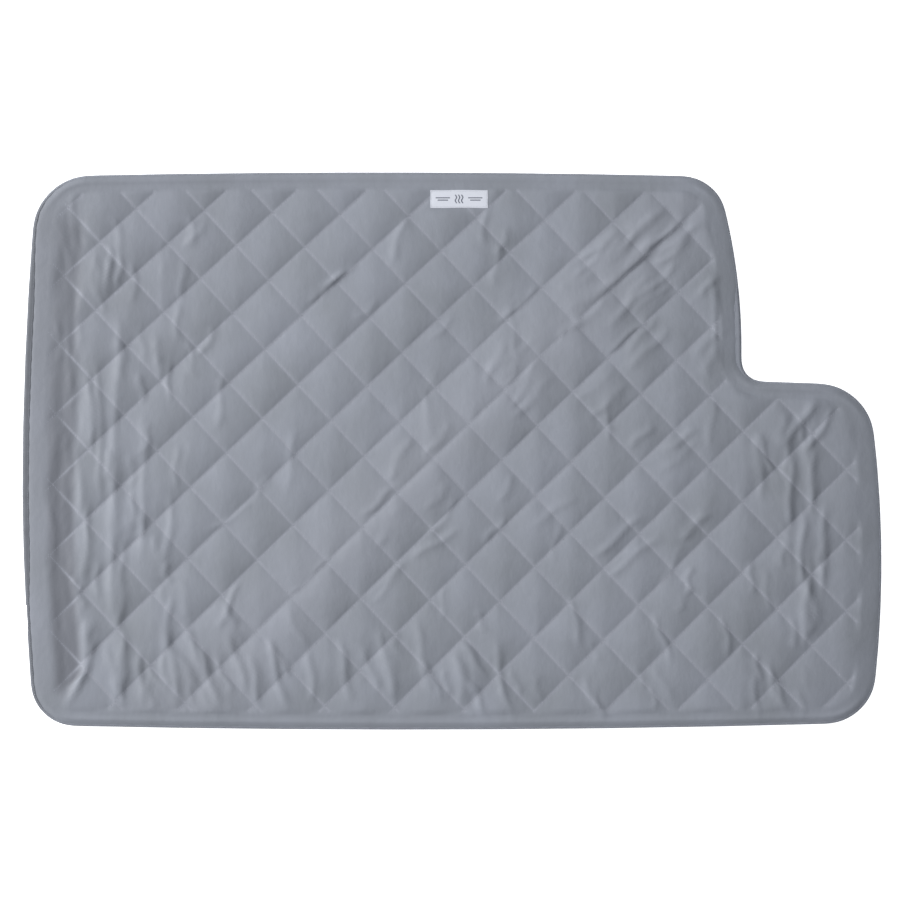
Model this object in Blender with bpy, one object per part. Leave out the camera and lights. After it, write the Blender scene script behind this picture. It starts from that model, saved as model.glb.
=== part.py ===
"""Quilted far-infrared heating pad of a sauna blanket, laid out flat.

The pad is an L-shaped stack of cloth, wadding, heating cable, foil and felt. A cloth
binding closes its edge all round, and a low power inlet is set into its foot edge. A fold
line along the middle parts it into two halves, so that the flap can close over the base.

Units are metres. +X runs from the foot end to the head end, +Y from the base half to the
flap half and +Z up from the floor, which the whole underside lies on.
"""
import math

import bmesh
import bpy
from mathutils import Vector

MM = 0.001
TOUCH_GAP = 0.3 * MM  # between two pieces that touch

# Outline, seen from above
PAD_LENGTH = 1.800
PAD_WIDTH = 1.169
NOTCH_LENGTH = 0.295  # head cut-out, along X
NOTCH_WIDTH = 0.437  # head cut-out, along Y
FLAP_END_LEAN = 0.052  # the flap's head end leans back by this much over its width
FOOT_END_LEAN = 0.007  # and the ends and sides by these
HEAD_END_LEAN = 0.006
NEAR_SIDE_LEAN = 0.005
FOOT_END_BOW = 0.026  # how far each side bulges past the line between its corners
HEAD_END_BOW = 0.027
NEAR_SIDE_BOW = 0.012
FAR_SIDE_BOW = 0.009
FLAP_END_BOW = 0.019
FOOT_NEAR_ROUND = 0.081  # how far each corner's rounding reaches along its sides
HEAD_NEAR_ROUND = 0.089
HEAD_NOTCH_ROUND = 0.098
NOTCH_INNER_ROUND = 0.041
FLAP_HEAD_ROUND = 0.068
FLAP_FOOT_ROUND = 0.107
SIDE_STEPS = 7
CORNER_STEPS = 8

# Fold between the halves
FOLD_GAP = 1.0 * MM  # between the two halves at the fold line
FOLD_AXIS_RISE = 5.0 * MM  # of the fold's axis above the face cover

# Layers, from the floor up
BOTTOM_COVER_THICKNESS = 1.0 * MM
FELT_THICKNESS = 4.0 * MM
FOIL_THICKNESS = 0.4 * MM
CARRIER_THICKNESS = 0.8 * MM
SPREADER_THICKNESS = 0.6 * MM
BACKING_THICKNESS = 0.4 * MM
BATTING_THICKNESS = 5.8 * MM
FACE_COVER_THICKNESS = 1.0 * MM

# Edge binding: a folded strip whose two lips lie level with the covers
BINDING_THICKNESS = 1.0 * MM
BINDING_LIP = 13.0 * MM
BINDING_ROUND = 6.0 * MM
BINDING_ARC_STEPS = 3

# Woven label on the flap's border
LABEL_LENGTH = 120.0 * MM
LABEL_WIDTH = 37.0 * MM
LABEL_THICKNESS = 0.8 * MM
LABEL_CENTRE_X = 14.0 * MM
LABEL_TO_EDGE = 57.0 * MM  # from the label's centre to the far side
LABEL_ROUND = 3.0 * MM

# Heating cable: one per half, laid to and fro along X
CABLE_DIAMETER = 3.0 * MM
CABLE_RUNS = 8
CABLE_FIRST_RUN = 70.0 * MM  # from the fold line
CABLE_SIDE_MARGIN = 80.0 * MM  # from the far or near side to the last run
CABLE_FOOT_MARGIN = 100.0 * MM  # from the foot end to the cable's bends
CABLE_HEAD_MARGIN = 400.0 * MM  # from the head end: the pillow part isn't heated
CABLE_PITCH = (PAD_WIDTH / 2 - CABLE_FIRST_RUN - CABLE_SIDE_MARGIN) / (CABLE_RUNS - 1)
BEND_STEPS = 6

# Leads, splices, cut-outs and the sensor
LEAD_DIAMETER = 2.4 * MM
SENSOR_LEAD_DIAMETER = 1.4 * MM
SPLICE_DIAMETER = 3.4 * MM
SPLICE_LENGTH = 12.0 * MM
CUTOUT_LENGTH = 16.0 * MM
CUTOUT_WIDTH = 7.0 * MM
CUTOUT_HEIGHT = 3.2 * MM
CUTOUT_LEG_LENGTH = 5.0 * MM
CUTOUT_LEG_DIAMETER = 1.2 * MM
SENSOR_LENGTH = 14.0 * MM
SENSOR_WIDTH = 9.0 * MM
SENSOR_HEIGHT = 3.2 * MM
SENSOR_DISTANCE = 0.65  # from the inlet's back wall to the sensor
LEAD_CORNER = 8.0 * MM  # bend radius where a lead turns
HEATER_SLACK = 0.2 * MM  # of the space that holds all these, over the tallest of them
HEATER_SPACE = max(CABLE_DIAMETER, SPLICE_DIAMETER, CUTOUT_HEIGHT, SENSOR_HEIGHT) + HEATER_SLACK
LEAD_TRACK = 12.0 * MM  # from the inlet's back wall to the leads that run along Y

# Power inlet in the base half's foot edge
INLET_WIDTH = 52.0 * MM
INLET_DEPTH = 44.0 * MM
INLET_WALL = 1.6 * MM
INLET_RECESS = 2.0 * MM  # of its front face behind the binding
INLET_EDGE_BEVEL = 0.8 * MM
INLET_CLEARANCE = 1.0 * MM  # to the layers and the binding cut out around it
SOCKET_WIDTH = 26.0 * MM
SOCKET_HEIGHT = 6.4 * MM
SOCKET_DEPTH = 16.0 * MM
SOCKET_ROUND = 1.5 * MM
PIN_CARRIER_DEPTH = 6.0 * MM
PIN_SETBACK = 6.5 * MM  # of the pins' tips behind the front face
PIN_TAIL = 5.0 * MM  # behind the carrier
POWER_PIN_DIAMETER = 2.4 * MM
POWER_PIN_OFFSET = 9.0 * MM
SIGNAL_PIN_DIAMETER = 1.2 * MM
SIGNAL_PIN_OFFSET = 3.0 * MM
SCREW_SHANK_DIAMETER = 2.0 * MM
SCREW_HEAD_DIAMETER = 4.0 * MM
SCREW_HEAD_HEIGHT = 1.2 * MM
SCREW_SHANK_LENGTH = 7.0 * MM
SCREW_SETBACK = 33.0 * MM  # behind the front face
SCREW_OFFSET = 19.5 * MM  # to each side
BOSS_WALL = 1.3 * MM
ROUND_SIDES = 16

# Finishes: colour in linear light, roughness, metallic
FINISHES = {
    "face_microfibre": ((0.27, 0.28, 0.33), 0.85, 0.0),
    "binding_cloth": ((0.25, 0.26, 0.30), 0.85, 0.0),
    "coated_cloth": ((0.12, 0.125, 0.14), 0.55, 0.0),
    "white_wadding": ((0.85, 0.85, 0.84), 0.95, 0.0),
    "nonwoven_backing": ((0.75, 0.76, 0.77), 0.9, 0.0),
    "glass_cloth": ((0.80, 0.80, 0.76), 0.6, 0.0),
    "carrier_fleece": ((0.72, 0.71, 0.68), 0.9, 0.0),
    "aluminium_foil": ((0.86, 0.86, 0.87), 0.25, 1.0),
    "grey_felt": ((0.30, 0.30, 0.29), 0.95, 0.0),
    "label_satin": ((0.76, 0.78, 0.84), 0.5, 0.0),
    "cable_silicone": ((0.55, 0.08, 0.05), 0.45, 0.0),
    "live_silicone": ((0.22, 0.09, 0.04), 0.45, 0.0),
    "return_silicone": ((0.04, 0.12, 0.38), 0.45, 0.0),
    "sensor_silicone": ((0.80, 0.80, 0.78), 0.45, 0.0),
    "black_sleeve": ((0.02, 0.02, 0.02), 0.4, 0.0),
    "cutout_shell": ((0.04, 0.04, 0.045), 0.35, 0.0),
    "black_nylon": ((0.025, 0.025, 0.028), 0.5, 0.0),
    "carrier_resin": ((0.60, 0.58, 0.52), 0.45, 0.0),
    "pin_brass": ((0.80, 0.62, 0.30), 0.25, 1.0),
    "screw_steel": ((0.60, 0.60, 0.60), 0.3, 1.0),
}

BASE = -1
FLAP = 1
HALF_NAMES = {BASE: "base", FLAP: "flap"}

# Levels of the layers, each resting on the one below
LAYER_THICKNESSES = (
    ("bottom_cover", BOTTOM_COVER_THICKNESS),
    ("insulation_felt", FELT_THICKNESS),
    ("reflective_foil", FOIL_THICKNESS),
    ("heater_carrier", CARRIER_THICKNESS),
    ("heater_space", HEATER_SPACE),
    ("heat_spreader", SPREADER_THICKNESS),
    ("quilt_backing", BACKING_THICKNESS),
    ("quilt_batting", BATTING_THICKNESS),
    ("face_cover", FACE_COVER_THICKNESS),
)


def stacked_levels(layers):
    """The low and high level of each layer, from the floor up."""
    levels = {}
    low = 0.0
    for name, thickness in layers:
        levels[name] = (low, low + thickness)
        low += thickness + TOUCH_GAP
    return levels


LEVELS = stacked_levels(LAYER_THICKNESSES)
PAD_THICKNESS = LEVELS["face_cover"][1]
HEATER_LEVEL = sum(LEVELS["heater_space"]) / 2
FOLD_AXIS_LEVEL = PAD_THICKNESS + FOLD_AXIS_RISE


# ---------------------------------------------------------------- outline

def outline_corners():
    """Sharp corner, rounding and bow of the next side, anticlockwise from the foot."""
    foot = -PAD_LENGTH / 2
    head = PAD_LENGTH / 2
    near = -PAD_WIDTH / 2
    far = PAD_WIDTH / 2
    notch_x = head - NOTCH_LENGTH
    notch_y = far - NOTCH_WIDTH
    foot_x = foot + FOOT_END_BOW
    head_x = head - HEAD_END_BOW
    near_y = near + NEAR_SIDE_BOW
    far_y = far - FAR_SIDE_BOW
    foot_lean = FOOT_END_LEAN / 2
    head_lean = HEAD_END_LEAN / 2
    near_lean = NEAR_SIDE_LEAN / 2
    return (
        (Vector((foot_x - foot_lean, near_y - near_lean)), FOOT_NEAR_ROUND, NEAR_SIDE_BOW),
        (Vector((head_x + head_lean, near_y + near_lean)), HEAD_NEAR_ROUND, HEAD_END_BOW),
        (Vector((head_x - head_lean, notch_y - FAR_SIDE_BOW)), HEAD_NOTCH_ROUND, 0.0),
        (Vector((notch_x, notch_y)), NOTCH_INNER_ROUND, FLAP_END_BOW),
        (Vector((notch_x - FLAP_END_LEAN, far_y)), FLAP_HEAD_ROUND, FAR_SIDE_BOW),
        (Vector((foot_x + foot_lean, far_y)), FLAP_FOOT_ROUND, FOOT_END_BOW),
    )


def side_point(start, end, bow, t):
    """Point at fraction t of a side that bows to the right of its travel."""
    along = end - start
    outward = Vector((along.y, -along.x)).normalized()
    return start + along * t + outward * (4 * t * (1 - t) * bow)


def side_direction(start, end, bow, t):
    along = end - start
    outward = Vector((along.y, -along.x)).normalized()
    return (along + outward * (4 * (1 - 2 * t) * bow)).normalized()


def corner_curve(start, start_direction, end, end_direction, reach):
    """Round a corner with a curve close to a circle's quarter."""
    handle = 0.552 * reach
    first = start + start_direction * handle
    second = end - end_direction * handle
    points = []
    for step in range(CORNER_STEPS + 1):
        t = step / CORNER_STEPS
        s = 1 - t
        points.append(start * s**3 + first * (3 * s * s * t) + second * (3 * s * t * t) + end * t**3)
    return points


def pad_outline():
    """The whole edge as an anticlockwise loop, centred on its own bounds."""
    corners = outline_corners()
    sides = []
    for index, (start, reach, bow) in enumerate(corners):
        end, next_reach, _ = corners[(index + 1) % len(corners)]
        length = (end - start).length
        sides.append((start, end, bow, reach / length, 1 - next_reach / length))
    loop = []
    for index, (start, end, bow, first, last) in enumerate(sides):
        before = sides[index - 1]
        leaving = side_point(*before[:3], before[4])
        arriving = side_point(start, end, bow, first)
        reach = corners[index][1]
        loop += corner_curve(leaving, side_direction(*before[:3], before[4]),
                             arriving, side_direction(start, end, bow, first), reach)
        for step in range(1, SIDE_STEPS):
            t = first + (last - first) * step / SIDE_STEPS
            loop.append(side_point(start, end, bow, t))
    low = Vector((min(p.x for p in loop), min(p.y for p in loop)))
    high = Vector((max(p.x for p in loop), max(p.y for p in loop)))
    middle = (low + high) / 2
    return [point - middle for point in loop]


def outward_normals(loop):
    normals = []
    for index, point in enumerate(loop):
        along = loop[(index + 1) % len(loop)] - loop[index - 1]
        normals.append(Vector((along.y, -along.x)).normalized())
    return normals


OUTLINE = pad_outline()
NORMALS = outward_normals(OUTLINE)


def half_edge(half):
    """One half's outer edge, as points and normals from one end of the fold to the other."""
    fold_y = half * FOLD_GAP / 2
    count = len(OUTLINE)
    inside = [half * (point.y - fold_y) > 0 for point in OUTLINE]
    first = next(i for i in range(count) if inside[i] and not inside[i - 1])
    chain = [fold_crossing(OUTLINE[first - 1], OUTLINE[first], fold_y)]
    index = first
    while inside[index % count]:
        chain.append((OUTLINE[index % count], NORMALS[index % count]))
        index += 1
    chain.append(fold_crossing(OUTLINE[(index - 1) % count], OUTLINE[index % count], fold_y))
    return chain


def fold_crossing(before, after, fold_y):
    """Where the edge meets the fold line, with a normal square to the fold's plane."""
    share = (fold_y - before.y) / (after.y - before.y)
    point = before.lerp(after, share)
    point.y = fold_y
    return point, Vector((math.copysign(1.0, point.x), 0.0))


def half_plan(half, inset):
    """One half's outline in plan, set in from its outer edge but not from the fold."""
    return [point - normal * inset for point, normal in half_edge(half)]


def foot_edge_x(y):
    """Where the foot edge lies at a given Y."""
    for before, after in zip(OUTLINE, OUTLINE[1:] + OUTLINE[:1]):
        if before.x < 0 and after.x < 0 and before.y >= y > after.y:
            return before.lerp(after, (y - before.y) / (after.y - before.y)).x
    raise ValueError("no foot edge there")


# ---------------------------------------------------------------- making objects

def clear_scene():
    for thing in list(bpy.data.objects):
        bpy.data.objects.remove(thing)


def finish_material(name, finish):
    colour, roughness, metallic = FINISHES[finish]
    material = bpy.data.materials.new(name)
    material.use_nodes = True
    shader = material.node_tree.nodes["Principled BSDF"]
    shader.inputs["Base Color"].default_value = (*colour, 1.0)
    shader.inputs["Roughness"].default_value = roughness
    shader.inputs["Metallic"].default_value = metallic
    return material


def add_object(name, data, finish):
    thing = bpy.data.objects.new(name, data)
    bpy.context.scene.collection.objects.link(thing)
    data.materials.append(finish_material(name, finish))
    return thing


def add_mesh(name, form, finish):
    """Turn a bmesh into an object whose faces point outwards."""
    bmesh.ops.recalc_face_normals(form, faces=form.faces)
    mesh = bpy.data.meshes.new(name)
    form.to_mesh(mesh)
    form.free()
    return add_object(name, mesh, finish)


def extruded_form(plan, low, high):
    form = bmesh.new()
    floor = form.faces.new([form.verts.new((p.x, p.y, low)) for p in plan])
    result = bmesh.ops.extrude_face_region(form, geom=[floor])
    lifted = [item for item in result["geom"] if isinstance(item, bmesh.types.BMVert)]
    bmesh.ops.translate(form, verts=lifted, vec=(0, 0, high - low))
    return form


def slab(name, plan, low, high, finish):
    return add_mesh(name, extruded_form(plan, low, high), finish)


def box_plan(low, high):
    return [Vector((low[0], low[1])), Vector((high[0], low[1])),
            Vector((high[0], high[1])), Vector((low[0], high[1]))]


def block(name, low, high, finish, bevel=0.0):
    """A box between two corners, with its edges eased if a bevel is given."""
    form = extruded_form(box_plan(low, high), low[2], high[2])
    if bevel:
        bmesh.ops.bevel(form, geom=form.edges[:], offset=bevel, segments=2, affect='EDGES',
                        profile=0.5)
    return add_mesh(name, form, finish)


def turned(name, profile, centre, direction, finish):
    """A round piece: (radius, distance) pairs turned about an axis through centre."""
    form = bmesh.new()
    axis = Vector(direction).normalized()
    side = axis.orthogonal().normalized()
    origin = Vector(centre)
    edge_points = [form.verts.new(origin + side * r + axis * d) for r, d in profile]
    edges = [form.edges.new(pair) for pair in zip(edge_points, edge_points[1:])]
    bmesh.ops.spin(form, geom=edge_points + edges, cent=origin, axis=axis,
                   angle=math.tau, steps=ROUND_SIDES, use_duplicate=False)
    bmesh.ops.remove_doubles(form, verts=form.verts, dist=0.001 * MM)
    thing = add_mesh(name, form, finish)
    thing.data.shade_smooth()
    thing.data.set_sharp_from_angle(angle=math.radians(35))
    return thing


def rod(name, centre, direction, diameter, length, finish, chamfer=0.0):
    """A round bar that starts at centre."""
    radius = diameter / 2
    profile = [(0, 0), (radius - chamfer, 0), (radius, chamfer),
               (radius, length - chamfer), (radius - chamfer, length), (0, length)]
    if not chamfer:
        profile = [(0, 0), (radius, 0), (radius, length), (0, length)]
    return turned(name, profile, centre, direction, finish)


def tube(name, points, diameter, finish):
    """A solid lead or cable along a list of points."""
    curve = bpy.data.curves.new(name, 'CURVE')
    curve.dimensions = '3D'
    curve.twist_mode = 'Z_UP'
    curve.bevel_depth = diameter / 2
    curve.bevel_resolution = 1
    curve.use_fill_caps = True
    spline = curve.splines.new('POLY')
    spline.points.add(len(points) - 1)
    for target, point in zip(spline.points, points):
        target.co = (*point, 1.0)
    return add_object(name, curve, finish)


def boolean(target, tool, operation):
    """Cut or join another shape into a piece; the tool itself isn't a piece."""
    tool.hide_render = True
    tool.display_type = 'WIRE'
    change = target.modifiers.new(tool.name, 'BOOLEAN')
    change.operation = operation
    change.solver = 'EXACT'
    change.object = tool


# ---------------------------------------------------------------- soft layers

def soft_layer(half, layer, inset, finish):
    low, high = LEVELS[layer]
    name = f"{HALF_NAMES[half]}_{layer}"
    return slab(name, half_plan(half, inset), low, high, finish)


def make_soft_layers(half):
    """The covers end at the binding's lips, the filling inside its round."""
    cover_inset = BINDING_LIP + TOUCH_GAP
    filling_inset = BINDING_ROUND + TOUCH_GAP
    return {
        "bottom_cover": soft_layer(half, "bottom_cover", cover_inset, "coated_cloth"),
        "insulation_felt": soft_layer(half, "insulation_felt", filling_inset, "grey_felt"),
        "reflective_foil": soft_layer(half, "reflective_foil", filling_inset, "aluminium_foil"),
        "heater_carrier": soft_layer(half, "heater_carrier", filling_inset, "carrier_fleece"),
        "heat_spreader": soft_layer(half, "heat_spreader", filling_inset, "glass_cloth"),
        "quilt_backing": soft_layer(half, "quilt_backing", filling_inset, "nonwoven_backing"),
        "quilt_batting": soft_layer(half, "quilt_batting", filling_inset, "white_wadding"),
        "face_cover": soft_layer(half, "face_cover", cover_inset, "face_microfibre"),
    }


def quarter(centre, radius, start_angle, end_angle):
    """Points of a quarter circle in the binding's section."""
    points = []
    for step in range(BINDING_ARC_STEPS + 1):
        angle = math.radians(start_angle + (end_angle - start_angle) * step / BINDING_ARC_STEPS)
        points.append((centre[0] - radius * math.cos(angle), centre[1] + radius * math.sin(angle)))
    return points


def binding_section():
    """The folded strip's section: distance in from the edge, and level."""
    outer = BINDING_ROUND
    inner = BINDING_ROUND - BINDING_THICKNESS
    top_centre = (BINDING_ROUND, PAD_THICKNESS - BINDING_ROUND)
    low_centre = (BINDING_ROUND, BINDING_ROUND)
    outside = quarter(top_centre, outer, 90, 0) + quarter(low_centre, outer, 0, -90)
    inside = quarter(low_centre, inner, -90, 0) + quarter(top_centre, inner, 0, 90)
    lower_lip = [(BINDING_LIP, 0.0), (BINDING_LIP, BINDING_THICKNESS)]
    upper_lip = [(BINDING_LIP, PAD_THICKNESS - BINDING_THICKNESS), (BINDING_LIP, PAD_THICKNESS)]
    return outside + lower_lip + inside + upper_lip


def make_binding(half):
    """Sweep the section along one half's outer edge and close it at the fold."""
    section = binding_section()
    form = bmesh.new()
    rings = []
    for point, normal in half_edge(half):
        flat = [point - normal * inset for inset, _ in section]
        rings.append([form.verts.new((p.x, p.y, level)) for p, (_, level) in zip(flat, section)])
    for ring, following in zip(rings, rings[1:]):
        for index in range(len(section)):
            form.faces.new((ring[index - 1], ring[index], following[index], following[index - 1]))
    form.faces.new(rings[0])
    form.faces.new(rings[-1])
    return add_mesh(f"{HALF_NAMES[half]}_edge_binding", form, "binding_cloth")


def make_label():
    """A woven label stitched on the flap's border, near the middle of the far side."""
    centre_y = max(point.y for point in OUTLINE) - LABEL_TO_EDGE
    low = PAD_THICKNESS + TOUCH_GAP
    form = extruded_form(box_plan((LABEL_CENTRE_X - LABEL_LENGTH / 2, centre_y - LABEL_WIDTH / 2),
                                  (LABEL_CENTRE_X + LABEL_LENGTH / 2, centre_y + LABEL_WIDTH / 2)),
                         low, low + LABEL_THICKNESS)
    upright = [edge for edge in form.edges if abs(edge.verts[0].co.z - edge.verts[1].co.z) > MM / 2]
    bmesh.ops.bevel(form, geom=upright, offset=LABEL_ROUND, segments=3, affect='EDGES', profile=0.5)
    return add_mesh("woven_label", form, "label_satin")


# ---------------------------------------------------------------- power inlet

# The inlet lies on the line between two runs of the base's cable, which leaves its
# sensor lead a straight way between them. Its pieces are made about the middle of its
# front face, at the level where its two shells meet.
SENSOR_GAP_RUN = 4
INLET_Y = -(CABLE_FIRST_RUN + (SENSOR_GAP_RUN + 0.5) * CABLE_PITCH)
INLET_FRONT_X = foot_edge_x(INLET_Y) + INLET_RECESS
INLET_BACK_X = INLET_FRONT_X + INLET_DEPTH
INLET_LOW = LEVELS["bottom_cover"][1] + TOUCH_GAP
INLET_HIGH = LEVELS["quilt_backing"][1]
INLET_SPLIT = (INLET_LOW + INLET_HIGH) / 2
HALF_HEIGHT = INLET_SPLIT - INLET_LOW
HALF_WIDTH = INLET_WIDTH / 2
CARRIER_FRONT = SOCKET_DEPTH + TOUCH_GAP
CARRIER_BACK = CARRIER_FRONT + PIN_CARRIER_DEPTH
BOSS_DIAMETER = SCREW_HEAD_DIAMETER + 2 * TOUCH_GAP + 2 * BOSS_WALL
SHANK_HOLE_DIAMETER = SCREW_SHANK_DIAMETER + 2 * TOUCH_GAP
SCREW_SEAT = SCREW_HEAD_HEIGHT + 2 * TOUCH_GAP - HALF_HEIGHT
SCREW_TIP = SCREW_SEAT - TOUCH_GAP + SCREW_SHANK_LENGTH
SCREW_PLACES = (("left", SCREW_OFFSET), ("right", -SCREW_OFFSET))
PINS = (("power_pin_live", -POWER_PIN_OFFSET, POWER_PIN_DIAMETER),
        ("signal_pin_a", -SIGNAL_PIN_OFFSET, SIGNAL_PIN_DIAMETER),
        ("signal_pin_b", SIGNAL_PIN_OFFSET, SIGNAL_PIN_DIAMETER),
        ("power_pin_return", POWER_PIN_OFFSET, POWER_PIN_DIAMETER))
LEAD_EXITS = ((-POWER_PIN_OFFSET, LEAD_DIAMETER), (-SIGNAL_PIN_OFFSET, SENSOR_LEAD_DIAMETER),
              (SIGNAL_PIN_OFFSET, SENSOR_LEAD_DIAMETER), (POWER_PIN_OFFSET, LEAD_DIAMETER))


def at_inlet(thing):
    """Set a piece made about the inlet's front into its place in the pad."""
    thing.location = (INLET_FRONT_X, INLET_Y, INLET_SPLIT)
    return thing


def inlet_block(name, low, high, finish="black_nylon", bevel=0.0):
    return at_inlet(block(name, low, high, finish, bevel))


def inlet_rod(name, centre, direction, diameter, length, finish="black_nylon", chamfer=0.0):
    return at_inlet(rod(name, centre, direction, diameter, length, finish, chamfer))


def shell_blank(name, low, high):
    """Half of the inlet's housing before it is hollowed."""
    return inlet_block(name, (0, -HALF_WIDTH, low), (INLET_DEPTH, HALF_WIDTH, high),
                       bevel=INLET_EDGE_BEVEL)


def hollow_shell(shell):
    """Cut the socket and the space for the pins and leads, shared by both shells."""
    width = HALF_WIDTH - INLET_WALL
    height = HALF_HEIGHT - INLET_WALL
    space = inlet_block(f"{shell.name}_space", (SOCKET_DEPTH, -width, -height),
                        (INLET_DEPTH - INLET_WALL, width, height))
    boolean(shell, space, 'DIFFERENCE')
    boolean(shell, socket_cutter(f"{shell.name}_socket"), 'DIFFERENCE')


def socket_cutter(name):
    """The shape of the lead's nose: a flat opening with rounded corners."""
    low = (-MM, -SOCKET_WIDTH / 2, -SOCKET_HEIGHT / 2)
    high = (SOCKET_DEPTH + MM / 2, SOCKET_WIDTH / 2, SOCKET_HEIGHT / 2)
    form = extruded_form(box_plan(low, high), low[2], high[2])
    lengthwise = [edge for edge in form.edges
                  if abs(edge.verts[0].co.x - edge.verts[1].co.x) > SOCKET_DEPTH / 2]
    bmesh.ops.bevel(form, geom=lengthwise, offset=SOCKET_ROUND, segments=2, affect='EDGES',
                    profile=0.5)
    return at_inlet(add_mesh(name, form, "black_nylon"))


def make_lower_shell():
    """Lower half, with bosses that the screws pass up through."""
    rim = -TOUCH_GAP / 2
    inside = INLET_WALL / 2 - HALF_HEIGHT
    shell = shell_blank("inlet_lower_shell", -HALF_HEIGHT, rim)
    hollow_shell(shell)
    for side, y in SCREW_PLACES:
        boss = inlet_rod(f"lower_boss_{side}", (SCREW_SETBACK, y, inside), (0, 0, 1),
                         BOSS_DIAMETER, rim - inside)
        boolean(shell, boss, 'UNION')
        head_hole = inlet_rod(f"lower_head_hole_{side}", (SCREW_SETBACK, y, -HALF_HEIGHT - MM),
                              (0, 0, 1), SCREW_HEAD_DIAMETER + 2 * TOUCH_GAP,
                              SCREW_SEAT + HALF_HEIGHT + MM)
        boolean(shell, head_hole, 'DIFFERENCE')
        shank_hole = inlet_rod(f"lower_shank_hole_{side}", (SCREW_SETBACK, y, SCREW_SEAT - MM),
                               (0, 0, 1), SHANK_HOLE_DIAMETER, rim - SCREW_SEAT + 2 * MM)
        boolean(shell, shank_hole, 'DIFFERENCE')


def make_upper_shell():
    """Upper half, with blind bosses for the screws and slots for the leads."""
    rim = TOUCH_GAP / 2
    shell = shell_blank("inlet_upper_shell", rim, HALF_HEIGHT)
    hollow_shell(shell)
    for side, y in SCREW_PLACES:
        boss = inlet_rod(f"upper_boss_{side}", (SCREW_SETBACK, y, rim), (0, 0, 1),
                         BOSS_DIAMETER, HALF_HEIGHT - INLET_WALL / 2 - rim)
        boolean(shell, boss, 'UNION')
        shank_hole = inlet_rod(f"upper_shank_hole_{side}", (SCREW_SETBACK, y, rim - MM),
                               (0, 0, 1), SHANK_HOLE_DIAMETER, SCREW_TIP + TOUCH_GAP - rim + MM)
        boolean(shell, shank_hole, 'DIFFERENCE')
    lead_level = HEATER_LEVEL - INLET_SPLIT
    for number, (y, diameter) in enumerate(LEAD_EXITS):
        reach = diameter / 2 + TOUCH_GAP
        slot = inlet_block(f"lead_slot_{number}", (INLET_DEPTH - 2 * INLET_WALL, y - reach, rim - MM),
                           (INLET_DEPTH + MM, y + reach, lead_level + reach))
        boolean(shell, slot, 'DIFFERENCE')


def make_pins():
    """The pin carrier across the housing, and the four pins through it."""
    width = HALF_WIDTH - INLET_WALL - TOUCH_GAP
    height = HALF_HEIGHT - INLET_WALL - TOUCH_GAP
    carrier = inlet_block("inlet_pin_carrier", (CARRIER_FRONT, -width, -height),
                          (CARRIER_BACK, width, height), "carrier_resin")
    length = CARRIER_BACK + PIN_TAIL - PIN_SETBACK
    for name, y, diameter in PINS:
        hole = inlet_rod(f"{name}_hole", (CARRIER_FRONT - MM, y, 0), (1, 0, 0),
                         diameter + 2 * TOUCH_GAP, PIN_CARRIER_DEPTH + 2 * MM)
        boolean(carrier, hole, 'DIFFERENCE')
        inlet_rod(f"inlet_{name}", (PIN_SETBACK, y, 0), (1, 0, 0), diameter, length,
                  "pin_brass", chamfer=diameter / 5)


def make_screws():
    head = SCREW_HEAD_DIAMETER / 2
    shank = SCREW_SHANK_DIAMETER / 2
    ease = shank / 3
    tip = SCREW_HEAD_HEIGHT + SCREW_SHANK_LENGTH
    profile = [(0, 0), (head - ease, 0), (head, ease), (head, SCREW_HEAD_HEIGHT),
               (shank, SCREW_HEAD_HEIGHT), (shank, tip - shank), (shank / 2, tip), (0, tip)]
    start = SCREW_TIP - tip
    for side, y in SCREW_PLACES:
        at_inlet(turned(f"inlet_screw_{side}", profile, (SCREW_SETBACK, y, start), (0, 0, 1),
                        "screw_steel"))


def make_room_for_inlet(layers, binding):
    """Cut the layers around the housing, and a window for its face in the binding."""
    half_width = HALF_WIDTH + INLET_CLEARANCE
    foot_x = -PAD_LENGTH
    for layer in ("insulation_felt", "reflective_foil", "heater_carrier", "heat_spreader",
                  "quilt_backing"):
        notch = block(f"{layer}_notch", (foot_x, INLET_Y - half_width, -MM),
                      (INLET_BACK_X + INLET_CLEARANCE, INLET_Y + half_width, PAD_THICKNESS),
                      "black_nylon")
        boolean(layers[layer], notch, 'DIFFERENCE')
    window = block("binding_window", (foot_x, INLET_Y - half_width, -MM),
                   (foot_edge_x(INLET_Y) + BINDING_ROUND + 2 * INLET_CLEARANCE,
                    INLET_Y + half_width, INLET_HIGH + TOUCH_GAP), "black_nylon")
    boolean(binding, window, 'DIFFERENCE')


# ---------------------------------------------------------------- heating and leads

CABLE_FOOT_X = -PAD_LENGTH / 2 + CABLE_FOOT_MARGIN
CABLE_HEAD_X = PAD_LENGTH / 2 - CABLE_HEAD_MARGIN
TRACK_X = INLET_BACK_X + LEAD_TRACK
# Splice, cut-out and splice in a row, at each cable's outer end
PROTECTED_LENGTH = 2 * (SPLICE_LENGTH + CUTOUT_LEG_LENGTH + TOUCH_GAP) + CUTOUT_LENGTH


def run_y(half, run):
    return half * (CABLE_FIRST_RUN + run * CABLE_PITCH)


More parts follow.
